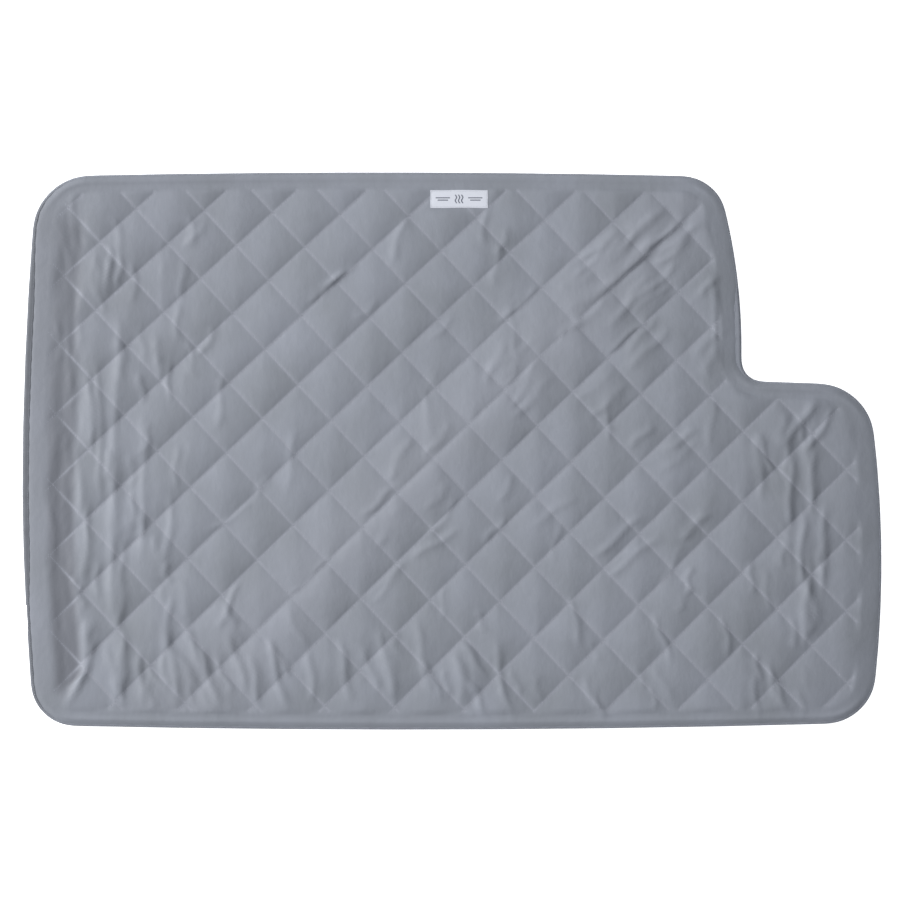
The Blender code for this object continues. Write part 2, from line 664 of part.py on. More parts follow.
def cable_route(half):
    """A cable laid to and fro: it starts and ends at the foot, first by the fold."""
    bend = CABLE_PITCH / 2
    points = [Vector((CABLE_FOOT_X, run_y(half, 0), HEATER_LEVEL))]
    for run in range(CABLE_RUNS - 1):
        at_head = run % 2 == 0
        centre_x = CABLE_HEAD_X - bend if at_head else CABLE_FOOT_X + bend
        reach = bend if at_head else -bend
        centre_y = (run_y(half, run) + run_y(half, run + 1)) / 2
        for step in range(BEND_STEPS + 1):
            angle = math.pi * step / BEND_STEPS
            points.append(Vector((centre_x + reach * math.sin(angle),
                                  centre_y - half * bend * math.cos(angle), HEATER_LEVEL)))
    outer_x = CABLE_FOOT_X + PROTECTED_LENGTH + TOUCH_GAP
    points.append(Vector((outer_x, run_y(half, CABLE_RUNS - 1), HEATER_LEVEL)))
    return points


def rounded_route(corners):
    """Turn a lead's corners into bends."""
    points = [corners[0]]
    for before, corner, after in zip(corners, corners[1:], corners[2:]):
        reach = min(LEAD_CORNER, (corner - before).length / 2, (after - corner).length / 2)
        start = corner + (before - corner).normalized() * reach
        end = corner + (after - corner).normalized() * reach
        for step in range(BEND_STEPS // 2 + 1):
            t = 2 * step / BEND_STEPS
            points.append(start * (1 - t) ** 2 + corner * (2 * t * (1 - t)) + end * t * t)
    points.append(corners[-1])
    return points


def pin_to_track(y):
    """A lead's first points: back from its pin and up to the heater's level."""
    back = INLET_FRONT_X + CARRIER_BACK + PIN_TAIL + TOUCH_GAP
    return [Vector((back, y, INLET_SPLIT)), Vector((back + 2 * MM, y, INLET_SPLIT)),
            Vector((INLET_BACK_X - 3 * INLET_WALL, y, HEATER_LEVEL))]


def splice(name, start_x, y):
    """A crimped splice in its shrink sleeve, lying along X."""
    rod(name, (start_x, y, HEATER_LEVEL), (1, 0, 0), SPLICE_DIAMETER, SPLICE_LENGTH,
        "black_sleeve", chamfer=SPLICE_DIAMETER / 8)
    return start_x + SPLICE_LENGTH


def thermal_cutout(name, start_x, y):
    """A thermal cut-out: a flat sealed shell on two round legs."""
    shell_x = start_x + CUTOUT_LEG_LENGTH
    shell = block(name, (shell_x, y - CUTOUT_WIDTH / 2, HEATER_LEVEL - CUTOUT_HEIGHT / 2),
                  (shell_x + CUTOUT_LENGTH, y + CUTOUT_WIDTH / 2, HEATER_LEVEL + CUTOUT_HEIGHT / 2),
                  "cutout_shell", bevel=0.6 * MM)
    legs = rod(f"{name}_legs", (start_x, y, HEATER_LEVEL), (1, 0, 0), CUTOUT_LEG_DIAMETER,
               CUTOUT_LENGTH + 2 * CUTOUT_LEG_LENGTH, "cutout_shell")
    boolean(shell, legs, 'UNION')
    return start_x + CUTOUT_LENGTH + 2 * CUTOUT_LEG_LENGTH


def protected_end(half, lead_name):
    """The cable's outer end: splice, cut-out and splice. Returns where the lead joins."""
    name = HALF_NAMES[half]
    y = run_y(half, CABLE_RUNS - 1)
    end = splice(f"{name}_{lead_name}_splice", CABLE_FOOT_X, y)
    end = thermal_cutout(f"{name}_thermal_cutout", end + TOUCH_GAP, y)
    splice(f"{name}_cable_splice", end + TOUCH_GAP, y)
    return Vector((CABLE_FOOT_X - TOUCH_GAP, y, HEATER_LEVEL))


def make_heating(half):
    """One half's cable, its protected outer end and the link that crosses the fold."""
    name = HALF_NAMES[half]
    tube(f"{name}_heating_cable", cable_route(half), CABLE_DIAMETER, "cable_silicone")
    y = run_y(half, 0)
    splice_x = CABLE_FOOT_X - TOUCH_GAP - SPLICE_LENGTH
    splice(f"{name}_link_splice", splice_x, y)
    link_x = splice_x - LEAD_CORNER
    link = rounded_route([Vector((splice_x - TOUCH_GAP, y, HEATER_LEVEL)),
                          Vector((link_x, y, HEATER_LEVEL)),
                          Vector((link_x, half * FOLD_GAP / 2, HEATER_LEVEL))])
    tube(f"{name}_link_lead", link, LEAD_DIAMETER, "live_silicone")


def make_base_leads():
    """From the inlet: live to the base's outer end, return to the fold."""
    join = protected_end(BASE, "live")
    live_y = INLET_Y - POWER_PIN_OFFSET
    live = pin_to_track(live_y) + [Vector((TRACK_X, live_y, HEATER_LEVEL)),
                                   Vector((TRACK_X, join.y, HEATER_LEVEL)), join]
    tube("base_live_lead", rounded_route(live), LEAD_DIAMETER, "live_silicone")
    return_y = INLET_Y + POWER_PIN_OFFSET
    back = pin_to_track(return_y) + [Vector((TRACK_X, return_y, HEATER_LEVEL)),
                                     Vector((TRACK_X, -FOLD_GAP / 2, HEATER_LEVEL))]
    tube("base_return_lead", rounded_route(back), LEAD_DIAMETER, "return_silicone")


def make_flap_leads():
    """From the flap's outer end back to the fold."""
    join = protected_end(FLAP, "return")
    route = [join, Vector((TRACK_X, join.y, HEATER_LEVEL)),
             Vector((TRACK_X, FOLD_GAP / 2, HEATER_LEVEL))]
    tube("flap_return_lead", rounded_route(route), LEAD_DIAMETER, "return_silicone")


def make_sensor():
    """A temperature sensor between two runs of the base's cable, and its two leads."""
    start_x = INLET_BACK_X + SENSOR_DISTANCE
    block("base_temperature_sensor",
          (start_x, INLET_Y - SENSOR_WIDTH / 2, HEATER_LEVEL - SENSOR_HEIGHT / 2),
          (start_x + SENSOR_LENGTH, INLET_Y + SENSOR_WIDTH / 2, HEATER_LEVEL + SENSOR_HEIGHT / 2),
          "black_sleeve", bevel=0.8 * MM)
    for label, y in (("a", INLET_Y - SIGNAL_PIN_OFFSET), ("b", INLET_Y + SIGNAL_PIN_OFFSET)):
        route = pin_to_track(y) + [Vector((start_x - TOUCH_GAP, y, HEATER_LEVEL))]
        tube(f"base_sensor_lead_{label}", rounded_route(route), SENSOR_LEAD_DIAMETER,
             "sensor_silicone")


# ---------------------------------------------------------------- assembly

def hang_on_fold():
    """Parent the flap's pieces to an empty on the fold's axis."""
    axis = bpy.data.objects.new("flap_fold_axis", None)
    bpy.context.scene.collection.objects.link(axis)
    axis.location = (0.0, 0.0, FOLD_AXIS_LEVEL)
    bpy.context.view_layer.update()
    for thing in bpy.data.objects:
        if thing.name.startswith("flap_") and thing is not axis or thing.name == "woven_label":
            thing.parent = axis
            thing.matrix_parent_inverse = axis.matrix_world.inverted()


def main():
    clear_scene()
    base_layers = make_soft_layers(BASE)
    make_soft_layers(FLAP)
    base_binding = make_binding(BASE)
    make_binding(FLAP)
    make_label()
    make_lower_shell()
    make_upper_shell()
    make_pins()
    make_screws()
    make_room_for_inlet(base_layers, base_binding)
    make_heating(BASE)
    make_heating(FLAP)
    make_base_leads()
    make_flap_leads()
    make_sensor()
    hang_on_fold()


main()
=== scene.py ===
# %% [markdown]
# # A quilted infrared sauna blanket
# The real one is a flat stack of sewn layers: a waterproof base, felt, foil, a heating mat, a spreader
# and a quilted face, all held at the rim by one strip of binding. It lies open on the floor here.
# One half folds over the other along the length, so every layer is one sheet that bends at the fold.
# The solid model gives the sizes and places, and this script makes the cloth, thread and finishes.

import math

import bmesh
import bpy
import numpy as np
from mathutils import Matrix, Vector
from mathutils.geometry import delaunay_2d_cdt
from mathutils.kdtree import KDTree


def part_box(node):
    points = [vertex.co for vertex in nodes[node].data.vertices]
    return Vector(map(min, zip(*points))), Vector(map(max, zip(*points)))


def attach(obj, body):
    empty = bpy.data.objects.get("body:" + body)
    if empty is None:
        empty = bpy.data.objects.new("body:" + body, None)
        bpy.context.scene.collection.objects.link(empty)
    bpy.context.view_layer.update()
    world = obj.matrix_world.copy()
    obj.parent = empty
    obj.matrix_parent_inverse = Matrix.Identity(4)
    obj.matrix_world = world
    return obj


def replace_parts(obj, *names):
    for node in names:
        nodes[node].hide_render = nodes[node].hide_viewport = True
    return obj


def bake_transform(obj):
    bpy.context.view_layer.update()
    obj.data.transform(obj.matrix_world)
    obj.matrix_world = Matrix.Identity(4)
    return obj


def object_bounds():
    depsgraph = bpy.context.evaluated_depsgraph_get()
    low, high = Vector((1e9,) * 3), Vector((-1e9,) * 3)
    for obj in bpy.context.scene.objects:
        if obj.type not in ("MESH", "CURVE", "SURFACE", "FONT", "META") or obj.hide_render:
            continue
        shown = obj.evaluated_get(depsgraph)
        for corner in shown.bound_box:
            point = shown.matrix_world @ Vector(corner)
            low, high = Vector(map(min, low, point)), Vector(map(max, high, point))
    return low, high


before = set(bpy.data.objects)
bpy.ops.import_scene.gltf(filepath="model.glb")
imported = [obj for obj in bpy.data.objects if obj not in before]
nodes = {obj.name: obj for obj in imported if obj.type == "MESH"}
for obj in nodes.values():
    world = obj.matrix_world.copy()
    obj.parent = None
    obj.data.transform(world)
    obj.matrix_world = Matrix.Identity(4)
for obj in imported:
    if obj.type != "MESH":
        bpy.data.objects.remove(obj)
cad_low, cad_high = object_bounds()
MM = 0.001
print("pieces in the model:", len(nodes), "size:", [round(v, 4) for v in cad_high - cad_low])

# %% [markdown]
# ## Camera and light
# The blanket is seen from straight above through a long lens, which keeps its outline true.
# A large soft light stands low on the left, so each puffed square has a bright left side and a dark right
# side. A weak one hangs overhead and fills the shadows. The paper is lit from below, as on a light table,
# which keeps it white and sends a little light up into the rim.

# %% Camera
VIEW_WIDTH = 1.888          # metres across the picture, measured level with the rim of the pad
VIEW_HEIGHT = 6.0           # metres from the lens down to that rim
RIM_LEVEL = 7 * MM          # the middle of the rim above the floor
camera_data = bpy.data.cameras.new("camera")
camera = bpy.data.objects.new("camera", camera_data)
bpy.context.scene.collection.objects.link(camera)
camera_data.sensor_width = 36.0
camera_data.lens = camera_data.sensor_width * VIEW_HEIGHT / VIEW_WIDTH
middle = (cad_low + cad_high) / 2
camera.location = (middle.x - 0.0050, middle.y + 0.0020, RIM_LEVEL + VIEW_HEIGHT)
bpy.context.scene.camera = camera
print("lens:", round(camera_data.lens, 1), "mm")


# %% Floor and lights
def linear(hex_colour):
    """An sRGB colour such as '8A8F99' as the linear red, green, blue and alpha that shaders take."""
    parts = [int(hex_colour[i:i + 2], 16) / 255 for i in (0, 2, 4)]
    return [p / 12.92 if p <= 0.04045 else ((p + 0.055) / 1.055) ** 2.4 for p in parts] + [1.0]


def add(tree, kind, links=None, **settings):
    """Adds a node: settings are its own properties, links name an input and give a value or a socket."""
    made = tree.nodes.new(kind)
    for name, value in settings.items():
        setattr(made, name, value)
    for name, value in (links or {}).items():
        if isinstance(value, bpy.types.NodeSocket):
            tree.links.new(value, made.inputs[name])
        else:
            made.inputs[name].default_value = value
    return made


def soft_light(name, place, target, size, power, colour):
    """A square area light aimed at a point and hidden from the camera itself."""
    data = bpy.data.lights.new(name, "AREA")
    data.shape, data.size, data.energy, data.color = "SQUARE", size, power, linear(colour)[:3]
    light = bpy.data.objects.new(name, data)
    light.location = place
    light.rotation_euler = (Vector(target) - Vector(place)).to_track_quat("-Z", "Y").to_euler()
    light.visible_camera = False
    bpy.context.scene.collection.objects.link(light)
    return light


soft_light("key_light", (-8.6, 2.4, 5.4), (0.0, 0.0, 0.0), 3.0, 1740.0, "FFFFFF")
soft_light("overhead_light", (0.35, -0.3, 3.6), (0.2, -0.1, 0.0), 2.0, 42.0, "FAFCFF")

world = bpy.data.worlds.new("studio")
bpy.context.scene.world = world
world.use_nodes = True
world.node_tree.nodes["Background"].inputs["Color"].default_value = linear("F4F6FA")
world.node_tree.nodes["Background"].inputs["Strength"].default_value = 0.2

bpy.context.scene.view_settings.view_transform = "Standard"

floor_mesh = bpy.data.meshes.new("floor")
FLOOR_HALF = 9.0
floor_mesh.from_pydata([(x * FLOOR_HALF, y * FLOOR_HALF, -0.0003)
                        for x, y in ((-1, -1), (1, -1), (1, 1), (-1, 1))], [], [(0, 1, 2, 3)])
floor = bpy.data.objects.new("floor", floor_mesh)
bpy.context.scene.collection.objects.link(floor)
paper = bpy.data.materials.new("white_studio_paper")
paper.use_nodes = True
paper_shader = paper.node_tree.nodes["Principled BSDF"]
paper_grain = add(paper.node_tree, "ShaderNodeTexNoise", {"Scale": 60.0})
paper_bump = add(paper.node_tree, "ShaderNodeBump", {"Height": paper_grain.outputs["Fac"], "Strength": 0.02})
paper.node_tree.links.new(paper_bump.outputs["Normal"], paper_shader.inputs["Normal"])
paper_shader.inputs["Base Color"].default_value = linear("F7F8FA")
paper_shader.inputs["Roughness"].default_value = 0.9
paper_shader.inputs["Emission Color"].default_value = linear("FFFFFF")
paper_shader.inputs["Emission Strength"].default_value = 0.85
floor_mesh.materials.append(paper)

# %% [markdown]
# ## The outline of the pad
# A sewn pad has a soft outline: long sides that bow a little and corners that run into them without a
# step. The face cover of the model has that plan in two halves. Its rim is read here, joined into one
# closed line, spaced evenly and smoothed, and then moved out by the width of the binding's lip.


# %% Read the outline from the two halves
def half_rim(name):
    """The rim of one half's top face without its fold line: an array of points in order."""
    flat = bmesh.new()
    flat.from_mesh(nodes[name].data)
    bmesh.ops.remove_doubles(flat, verts=flat.verts, dist=1e-5)
    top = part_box(name)[1].z
    caps = {f for f in flat.faces if all(abs(v.co.z - top) < 1e-5 for v in f.verts)}
    edges = [e for e in flat.edges if sum(f in caps for f in e.link_faces) == 1]
    edges = [e for e in edges if max(abs(v.co.y) for v in e.verts) > FOLD_LINE]
    after = {}
    for e in edges:
        a, b = e.verts
        after.setdefault(a, []).append(b)
        after.setdefault(b, []).append(a)
    here = max((v for v in after if len(after[v]) == 1), key=lambda v: v.co.x)
    walk, before = [here], None
    while True:
        onward = [v for v in after[walk[-1]] if v is not before]
        if not onward:
            break
        before = walk[-1]
        walk.append(onward[0])
    points = np.array([v.co.xy for v in walk])
    flat.free()
    return points


def even(points, count):
    """A closed line with its points spaced evenly."""
    closed = np.vstack([points, points[:1]])
    along = np.r_[0, np.cumsum(np.linalg.norm(np.diff(closed, axis=0), axis=1))]
    marks = np.linspace(0, along[-1], count, endpoint=False)
    return np.stack([np.interp(marks, along, closed[:, k]) for k in (0, 1)], axis=1)


def outward(points):
    """The outward normal at each point of a closed line that runs anticlockwise."""
    run = np.roll(points, -2, axis=0) - np.roll(points, 2, axis=0)
    run /= np.linalg.norm(run, axis=1, keepdims=True)
    return np.stack([run[:, 1], -run[:, 0]], axis=1)


FOLD_LINE = 1.0 * MM
RIM_STEP = 6.0 * MM
SMOOTHING = 5
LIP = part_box("base_face_cover")[0].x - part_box("base_edge_binding")[0].x
flap_rim, base_rim = half_rim("flap_face_cover"), half_rim("base_face_cover")
cover_rim = np.vstack([flap_rim, base_rim[::-1]])
RIM_COUNT = int(round(np.linalg.norm(np.diff(cover_rim, axis=0), axis=1).sum() / RIM_STEP))
cover_rim = even(cover_rim, RIM_COUNT)
for _ in range(SMOOTHING):
    cover_rim = 0.5 * cover_rim + 0.25 * (np.roll(cover_rim, 1, axis=0) + np.roll(cover_rim, -1, axis=0))
outline = even(cover_rim + outward(cover_rim) * LIP, RIM_COUNT)
LEFT_BULGE = 2.2 * MM                       # the left side bows out a little more than the model's
bulge = np.exp(-((outline[:, 1] + 0.13) / 0.24) ** 2) * (outline[:, 0] < -0.8)
outline[:, 0] -= LEFT_BULGE * bulge
normals = outward(outline)
for _ in range(SMOOTHING):
    normals = 0.5 * normals + 0.25 * (np.roll(normals, 1, axis=0) + np.roll(normals, -1, axis=0))
normals /= np.linalg.norm(normals, axis=1, keepdims=True)
print("outline:", RIM_COUNT, "points,", outline.min(0).round(4), outline.max(0).round(4))

# %% Which side of the pad each outline point faces
LEFT, RIGHT = np.clip(-normals[:, 0], 0, 1) ** 2, np.clip(normals[:, 0], 0, 1) ** 2
FAR, NEAR = np.clip(normals[:, 1], 0, 1) ** 2, np.clip(-normals[:, 1], 0, 1) ** 2
rim_tree = KDTree(RIM_COUNT)
for k, (x, y) in enumerate(outline):
    rim_tree.insert((x, y, 0.0), k)
rim_tree.balance()


def inset_of(points):
    """How far inside the outline each point is, and the index of the nearest outline point."""
    found = [rim_tree.find((x, y, 0.0)) for x, y in points]
    index = np.array([f[1] for f in found])
    step = points - outline[index]
    depth = -(step * normals[index]).sum(1)
    far = np.abs(depth) > 4 * RIM_STEP
    depth[far] = np.sign(depth[far]) * np.array([f[2] for f in found])[far]
    return depth, index


# %% [markdown]
# ## Where the quilting runs
# The face is quilted in squares set on their corners, about four inches apart. Two families of straight
# seams cross. A long-arm machine never holds the cloth quite square, so the two slopes differ by a few
# degrees and the lines bow slightly. Counting the seams as numbers makes the pattern easy to use: a
# point lies on a seam where its count is whole.

# %% The seams as a pair of counts
RISING_SLOPE, RISING_PITCH, RISING_START = math.radians(43.94), 102.8 * MM, 0.158
FALLING_SLOPE, FALLING_PITCH, FALLING_START = math.radians(47.05), 103.0 * MM, 0.380
RISING_BOW = (-0.005, 0.127, -0.406)       # how the seams drift with x*x, x*y and y*y
FALLING_BOW = (0.028, 0.199, 0.089)


def bow(x, y, by):
    return by[0] * x * x + by[1] * x * y + by[2] * y * y


def seam_counts(x, y):
    rising = (x * math.sin(RISING_SLOPE) - y * math.cos(RISING_SLOPE)) / RISING_PITCH
    falling = (x * math.sin(FALLING_SLOPE) + y * math.cos(FALLING_SLOPE)) / FALLING_PITCH
    return (RISING_START + rising + bow(x, y, RISING_BOW),
            FALLING_START + falling + bow(x, y, FALLING_BOW))


def place_of(rising, falling):
    """The point that has these two seam counts, by a few Newton steps."""
    x, y = np.zeros_like(rising), np.zeros_like(rising)
    tiny = 1e-5
    for _ in range(8):
        r, f = seam_counts(x, y)
        rx, fx = seam_counts(x + tiny, y)
        ry, fy = seam_counts(x, y + tiny)
        a, b, c, d = (rx - r) / tiny, (ry - r) / tiny, (fx - f) / tiny, (fy - f) / tiny
        er, ef = rising - r, falling - f
        det = a * d - b * c
        x, y = x + (d * er - b * ef) / det, y + (a * ef - c * er) / det
    return x, y


# %% [markdown]
# ## The shape of the quilted face
# Three things make the relief. Each square puffs up between its seams. The face is cut a little too wide
# for the pad, so the slack stands up as a crest down the middle of each square and as long folds near the
# sides. And at the rim the plain border rolls over the wadding before it dives under the binding. The
# height is written as a sum of these, which gives the simulation a start that already knows where the
# slack lies.

# %% Heights of squares, folds and border
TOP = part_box("base_face_cover")[1].z
SEAM_LEVEL = TOP - 3.6 * MM
PUFF = 6.5 * MM
chance = np.random.default_rng(11)
square_chance = chance.random((80, 80, 5))
strip_chance = chance.random(80)
ROLL_SHARE = 0.20                           # how far the falling seams ride up on the long rolls
FAR_LEFT_ROLL = 0.30                        # and how much further in the far left part

BORDER = 33.0 * MM                          # plain cloth from the outline to the first seam
border_width = BORDER + 12.0 * MM * LEFT + 10.0 * MM * RIGHT
RIM_TOP = 14.6 * MM                         # how high the binding's lip lies
RIM_ROUND = 7.0 * MM
TUCK = 2.6 * MM                             # face cloth that lies under the lip


def smooth_step(value, low, high):
    t = np.clip((value - low) / (high - low), 0, 1)
    return t * t * (3 - 2 * t)


pulled_right = RIGHT * smooth_step(outline[:, 1], 0.14, 0.20) * (1 - smooth_step(outline[:, 1], 0.29, 0.36))
pulled_over = LEFT * smooth_step(outline[:, 1], -0.34, -0.20) * (1 - smooth_step(outline[:, 1], 0.30, 0.46))
lip_width = 4.2 * MM + 3.5 * MM * LEFT + 6.0 * MM * pulled_over + 9.0 * MM * pulled_right + 1.2 * MM * NEAR


def rim_profile(inset):
    """The height above the rim's middle of a full, rounded edge, at a depth in from it."""
    share = 1 - np.minimum(inset, RIM_ROUND) / RIM_ROUND
    return RIM_TOP / 2 * (1 - share ** 2.4) ** (1 / 2.4)


def puff(rising, falling, x, y):
    """The puffed squares, 0 on the seams and about 1 at the crests."""
    i, j = np.floor(rising).astype(int), np.floor(falling).astype(int)
    own = square_chance[i % 80, j % 80]
    u, v = rising - i, falling - j
    dome = (1 - (2 * u - 1) ** 2) * (1 - (2 * v - 1) ** 2)
    across = u + v - 1 - 0.16 * (own[..., 0] - 0.5)
    along = v - u
    crest = np.sqrt(across ** 2 + (0.03 + 0.05 * own[..., 1]) ** 2)
    room = np.clip(1 - np.abs(along), 0.02, 1)
    tent = np.clip(1 - np.abs(along) - crest, 0, 1) / room ** 0.35
    share = 0.45 + 0.35 * own[..., 2]
    square = (share * tent + (1 - share) * dome ** 0.8) * (0.78 + 0.36 * own[..., 3])
    roll = np.sin(math.pi * u ** 1.3) ** 0.8
    far_left = smooth_step(0.9 * y - x, -0.10, 0.70)
    rolled = (ROLL_SHARE + FAR_LEFT_ROLL * far_left) * (0.75 + 0.5 * strip_chance[i % 80])
    return (1 - rolled) * square + rolled * roll


# A long fold of slack cloth: where it starts and ends, its half width and its height.
FOLDS = [
    # beside the left border
    ((-0.775, 0.33), (-0.790, 0.17), 8, 1.6), ((-0.760, 0.16), (-0.752, 0.00), 8, 2.0),
    ((-0.785, 0.02), (-0.778, -0.13), 8, 1.8), ((-0.762, -0.12), (-0.770, -0.27), 8, 2.2),
    ((-0.790, -0.26), (-0.783, -0.36), 7, 1.8), ((-0.765, -0.36), (-0.778, -0.49), 8, 2.2),
    ((-0.700, 0.25), (-0.706, -0.06), 11, 2.0),
    ((-0.712, -0.02), (-0.708, -0.36), 11, 2.6), ((-0.742, 0.18), (-0.735, -0.10), 7, 1.6),
    ((-0.800, 0.30), (-0.806, 0.10), 8, 1.5), ((-0.640, 0.02), (-0.652, -0.22), 10, 1.6),
    ((-0.585, -0.10), (-0.600, -0.24), 8, 1.6), ((-0.745, -0.40), (-0.800, -0.53), 8, 2.2),
    # along the near edge
    ((-0.690, -0.38), (-0.694, -0.53), 9, 2.8), ((-0.655, -0.42), (-0.650, -0.52), 8, 2.0),
    ((-0.600, -0.38), (-0.570, -0.52), 9, 2.6), ((-0.560, -0.37), (-0.520, -0.46), 9, 2.4),
    ((-0.530, -0.41), (-0.490, -0.53), 9, 2.6), ((-0.470, -0.38), (-0.430, -0.50), 9, 2.2),
    ((-0.420, -0.43), (-0.405, -0.53), 8, 2.0), ((-0.385, -0.40), (-0.350, -0.53), 9, 2.4),
    ((-0.300, -0.42), (-0.290, -0.52), 8, 1.8), ((-0.235, -0.40), (-0.215, -0.52), 9, 2.0),
    ((-0.150, -0.38), (-0.120, -0.52), 9, 2.2), ((-0.075, -0.36), (-0.050, -0.50), 9, 1.8),
    ((0.010, -0.42), (0.020, -0.53), 8, 1.6), ((0.090, -0.40), (0.110, -0.52), 8, 1.6),
    # the far right corner, where the cloth was pulled to the corner
    ((0.330, 0.40), (0.435, 0.505), 8, 2.4), ((0.375, 0.39), (0.480, 0.485), 8, 2.6),
    ((0.300, 0.33), (0.420, 0.42), 8, 2.2), ((0.270, 0.40), (0.350, 0.46), 8, 1.8),
    ((0.330, 0.27), (0.420, 0.35), 8, 2.0), ((0.250, 0.30), (0.330, 0.345), 8, 1.8),
    # beside the cut-out and down the right side
    ((0.545, 0.36), (0.560, 0.18), 8, 1.8), ((0.700, 0.02), (0.760, 0.105), 8, 2.6),
    ((0.740, 0.00), (0.800, 0.085), 8, 2.2), ((0.710, -0.01), (0.706, -0.16), 9, 2.8),
    ((0.755, 0.00), (0.750, -0.12), 8, 2.4), ((0.735, -0.14), (0.728, -0.28), 8, 2.4),
    ((0.780, -0.12), (0.775, -0.27), 8, 2.0), ((0.745, -0.27), (0.735, -0.40), 8, 2.2),
    ((0.640, 0.03), (0.650, -0.10), 8, 1.6),
    # loose cloth in the middle
    ((0.300, -0.22), (0.390, -0.14), 8, 1.6), ((0.330, -0.26), (0.430, -0.18), 8, 1.4),
    ((-0.060, 0.12), (-0.040, 0.02), 8, 1.2), ((-0.330, 0.04), (-0.345, -0.08), 9, 1.2),
    ((-0.480, 0.16), (-0.490, 0.05), 9, 1.4), ((0.100, 0.27), (0.180, 0.34), 8, 1.4),
    # the broad swell that runs across the whole pad
    ((-0.360, -0.36), (0.400, 0.42), 56, 3.2), ((-0.200, 0.02), (0.240, 0.47), 40, -1.0),
]


def small_creases(count):
    """Short creases of slack cloth: their places are chance, their directions follow the nearest side."""
    draw = np.random.default_rng(23)
    made = []
    while len(made) < count:
        x, y, pick, turn, long, wide, rise = draw.random(7)
        x, y = -0.84 + 1.64 * x, -0.54 + 1.05 * y
        left, near = math.exp(-((x + 0.80) / 0.22) ** 2), math.exp(-((y + 0.50) / 0.14) ** 2)
        corner = math.exp(-((x - 0.38) / 0.22) ** 2 - ((y - 0.38) / 0.18) ** 2)
        right = math.exp(-((x - 0.76) / 0.13) ** 2)
        if pick > 0.22 + 0.78 * max(left, near, corner, right) or x > 0.56 and y > 0.10:
            continue
        leaning = {"left": (92, 9), "near": (110, 14), "corner": (44, 9), "right": (96, 20), "middle": (62, 30)}
        strength = {"left": left, "near": near, "corner": corner, "right": right, "middle": 0.25}
        mean, spread = leaning[max(strength, key=strength.get)]
        angle = math.radians(mean + spread * (2 * turn - 1))
        half = (0.022 + 0.034 * long) * np.array([math.cos(angle), math.sin(angle)])
        made.append(((x - half[0], y - half[1]), (x + half[0], y + half[1]), 5.5 + 3.5 * wide, 0.5 + 1.3 * rise))
    return made


FOLDS += small_creases(190)


FOLD_GAIN = 1.8                             # the heights above are drawn this much fuller


def folds(x, y):
    """The summed height of the long folds at each point."""
    height = np.zeros_like(x)
    for (x0, y0), (x1, y1), half_width, rise in FOLDS:
        length = math.hypot(x1 - x0, y1 - y0)
        ax, ay = (x1 - x0) / length, (y1 - y0) / length
        along = ((x - x0) * ax + (y - y0) * ay) / length
        wander = 3 * MM * np.sin(7 * along + 40 * x0)
        across = ((x - x0) * -ay + (y - y0) * ax + wander) / (half_width * MM)
        ends = smooth_step(along, -0.15, 0.2) * (1 - smooth_step(along, 0.8, 1.15))
        height += FOLD_GAIN * rise * MM * ends * np.exp(-np.abs(across) ** 1.6)
    return height


label_middle = (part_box("woven_label")[0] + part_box("woven_label")[1]) / 2
label_half = (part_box("woven_label")[1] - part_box("woven_label")[0]) / 2


def drift(x, y):
    """The slow unevenness of a pad lying on a floor."""
    wave = np.sin(5.1 * x + 1.3 * np.sin(3.7 * y)) + np.sin(4.3 * y - 2.9 * x + 0.8)
    return 0.5 * MM * wave + 0.35 * MM * np.sin(13 * x - 7 * y + 2) * np.sin(11 * y + 3)


SOFT_LIMIT, HIGHEST = 22.8 * MM, 27.0 * MM
HOLLOW_LEVEL = 14.6 * MM                    # the slack beside the left border sinks to this
LOWEST = 14.0 * MM                          # the wadding carries the face at least this high


def flatten_for_label(x, y, height):
    """Cloth is held flat where the maker's label is sewn on."""
    away = np.hypot(np.maximum(np.abs(x - label_middle.x) - label_half.x, 0),
                    np.maximum(np.abs(y - label_middle.y) - label_half.y, 0))
    press = 1 - smooth_step(away, 1 * MM, 14 * MM)
    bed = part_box("woven_label")[0].z - 1.6 * MM
    return height + (np.minimum(height, bed) + 0.35 * (bed - np.minimum(height, bed)) - height) * press


